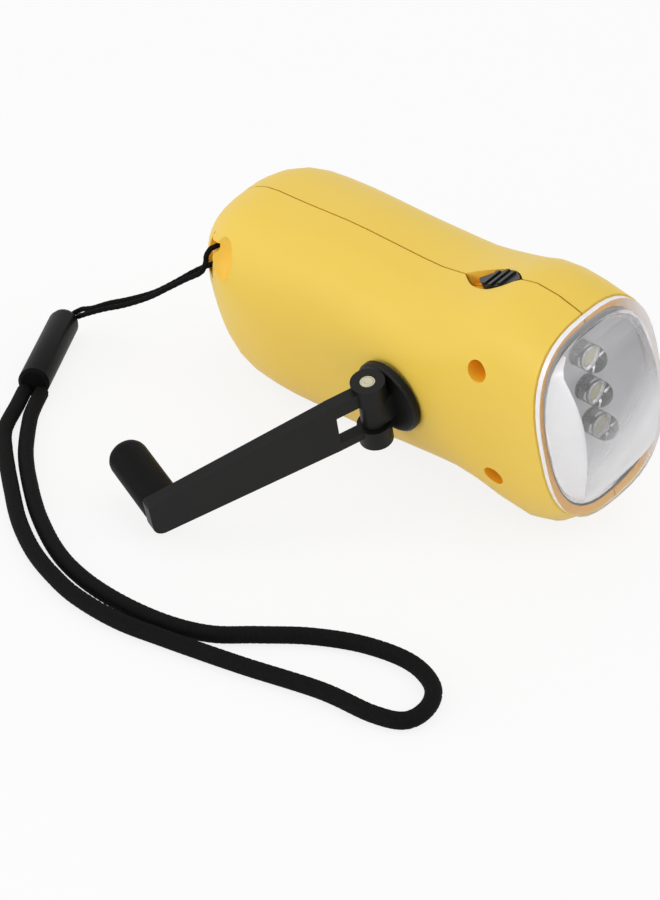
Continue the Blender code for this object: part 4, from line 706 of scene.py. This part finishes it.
def cords():
    """The wrist cord on the ground, and the thin string from its sleeve round the bar in the tail."""
    level = (WRIST_CORD_RADIUS + GROUND_GAP) / MM
    flat = [(x, y, level) for x, y in wrist_route]
    loop, line = cord_mesh("wrist_cord", flat, "cord", WRIST_CORD_RADIUS, spacing=0.3 * MM, sides=30,
                           relief=0.13 * MM, surface=plaited, strands=8, pitch=1.25 * MM)
    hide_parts("wrist_loop")
    string, line = cord_mesh("hanging_string", string_route, "string", STRING_RADIUS, spacing=0.2 * MM,
                             sides=14, relief=0.09 * MM, surface=twisted, strands=3, pitch=1.6 * MM)
    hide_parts("strap_string")


def turned_piece(name, profile, base, axis, look, body, sides=TURNED_SIDES):
    """A piece turned from a profile of (radius, height) in mm, about an axis through a base point."""
    across = axis.orthogonal().normalized()
    beside = axis.cross(across)
    points = []
    for radius, height in profile:
        for step in range(sides):
            angle = 2 * math.pi * step / sides
            outward = across * math.cos(angle) + beside * math.sin(angle)
            points.append(base + axis * height * MM + outward * radius * MM)
    return piece(name, points, closed_tube(len(profile), sides), look, body)


def lamp_insides():
    """In each lamp, a metal cup on its post, and the phosphor that fills the cup."""
    for number, height in enumerate(LED_HEIGHTS, 1):
        base = on_torch(LED_BACK_X, 0, height)
        turned_piece(f"lamp_cup_{number}", LAMP_CUP, base, TORCH_X, "steel", "torch")
        turned_piece(f"lamp_phosphor_{number}", LAMP_PHOSPHOR, base, TORCH_X, "phosphor", "torch")


def rolled_pin_ends():
    """The rolled rim on each end of the hinge pin."""
    hinge = next(joint for joint in frame["joints"] if joint["name"] == "arm_fold")
    axis = Vector(hinge["axis"]).normalized()
    for side, way in (("upper", 1), ("lower", -1)):
        base = Vector(hinge["pos_m"]) + axis * way * PIN_HALF_LENGTH
        turned_piece(f"pin_rim_{side}", PIN_RIM, base, axis * way, "rivet", "arm", sides=32)


cords()
lamp_insides()
rolled_pin_ends()


# Floor, light and camera

FLOOR_HALF = 1.5
FLOOR_GREY = 0.86
FLOOR_ROUGHNESS = 0.9
FLOOR_WHITE_SHARE = 0.84
AIR_LIGHT = 0.8
CAMERA_PLACE = Vector((353.751, -346.131, 258.592)) * MM
CAMERA_RIGHT = Vector((0.67727951, 0.73288897, 0.06454627))
CAMERA_UP = Vector((-0.39306939, 0.28628752, 0.87380542))
CAMERA_BACK = Vector((0.62192356, -0.61718167, 0.4819729))
CAMERA_LENS = 113.594
CAMERA_SHIFT = 0.0017

# Each soft box: its place, what it points at, its size and its power
soft_boxes = {
    "overhead": ((-0.05, 0.10, 0.75), (0.02, -0.01, 0.02), (0.7, 0.5), 0.3),
    "left_front": ((-0.55, -0.55, 0.45), (0.02, -0.02, 0.02), (0.5, 0.4), 0.2),
    "low_front": ((-0.10, -0.75, 0.16), (0.02, -0.02, 0.02), (0.8, 0.25), 1.8),
    "right_back": ((0.60, 0.35, 0.40), (0.03, 0, 0.02), (0.35, 0.5), 0.5),
}


def seen(tree):
    """A socket: 1 for what is looked at straight, in a mirror or through glass, 0 for light on its way."""
    rays = place(tree, "ShaderNodeLightPath").outputs
    mirrored = calculate(tree, "MAXIMUM", rays["Is Camera Ray"], rays["Is Glossy Ray"])
    return calculate(tree, "MAXIMUM", mirrored, rays["Is Transmission Ray"])


def pale_floor():
    mesh = bpy.data.meshes.new("floor")
    corners = [(x * FLOOR_HALF, y * FLOOR_HALF, 0) for x, y in ((-1, -1), (1, -1), (1, 1), (-1, 1))]
    mesh.from_pydata(corners, [], [(0, 1, 2, 3)])
    floor = bpy.data.objects.new("floor", mesh)
    bpy.context.scene.collection.objects.link(floor)
    made, tree, shader = blank("pale_floor")
    shader.inputs["Base Color"].default_value = rgb([FLOOR_GREY] * 3)
    shader.inputs["Roughness"].default_value = FLOOR_ROUGHNESS
    white = place(tree, "ShaderNodeEmission", strength=1)
    share = calculate(tree, "MULTIPLY", seen(tree), FLOOR_WHITE_SHARE)
    surface = blend_shaders(tree, share, shader.outputs[0], white.outputs[0])
    feed(tree, tree.nodes["Material Output"].inputs["Surface"], surface)
    mesh.materials.append(made)


def white_air():
    world = bpy.data.worlds.new("studio")
    bpy.context.scene.world = world
    world.use_nodes = True
    tree = world.node_tree
    air = tree.nodes["Background"]
    air.inputs["Color"].default_value = (1, 1, 1, 1)
    feed(tree, air.inputs["Strength"], between(tree, seen(tree), AIR_LIGHT, 1.0))


def light_boxes():
    for name, (spot, target, size, power) in soft_boxes.items():
        lamp = bpy.data.lights.new(name, "AREA")
        lamp.shape = "RECTANGLE"
        lamp.size, lamp.size_y = size
        lamp.energy = power
        holder = bpy.data.objects.new(name, lamp)
        bpy.context.scene.collection.objects.link(holder)
        holder.location = spot
        holder.rotation_mode = "QUATERNION"
        holder.rotation_quaternion = (Vector(target) - Vector(spot)).to_track_quat("-Z", "Y")


def camera():
    lens = bpy.data.cameras.new("view")
    lens.sensor_width = 36
    lens.lens = CAMERA_LENS
    lens.clip_start, lens.clip_end = 0.01, 20
    lens.shift_x = CAMERA_SHIFT
    holder = bpy.data.objects.new("view", lens)
    bpy.context.scene.collection.objects.link(holder)
    turn = Matrix((CAMERA_RIGHT, CAMERA_UP, CAMERA_BACK)).transposed().to_4x4()
    holder.matrix_world = Matrix.Translation(CAMERA_PLACE) @ turn
    bpy.context.scene.camera = holder


pale_floor()
white_air()
light_boxes()
camera()
bpy.context.scene.view_settings.view_transform = "Standard"
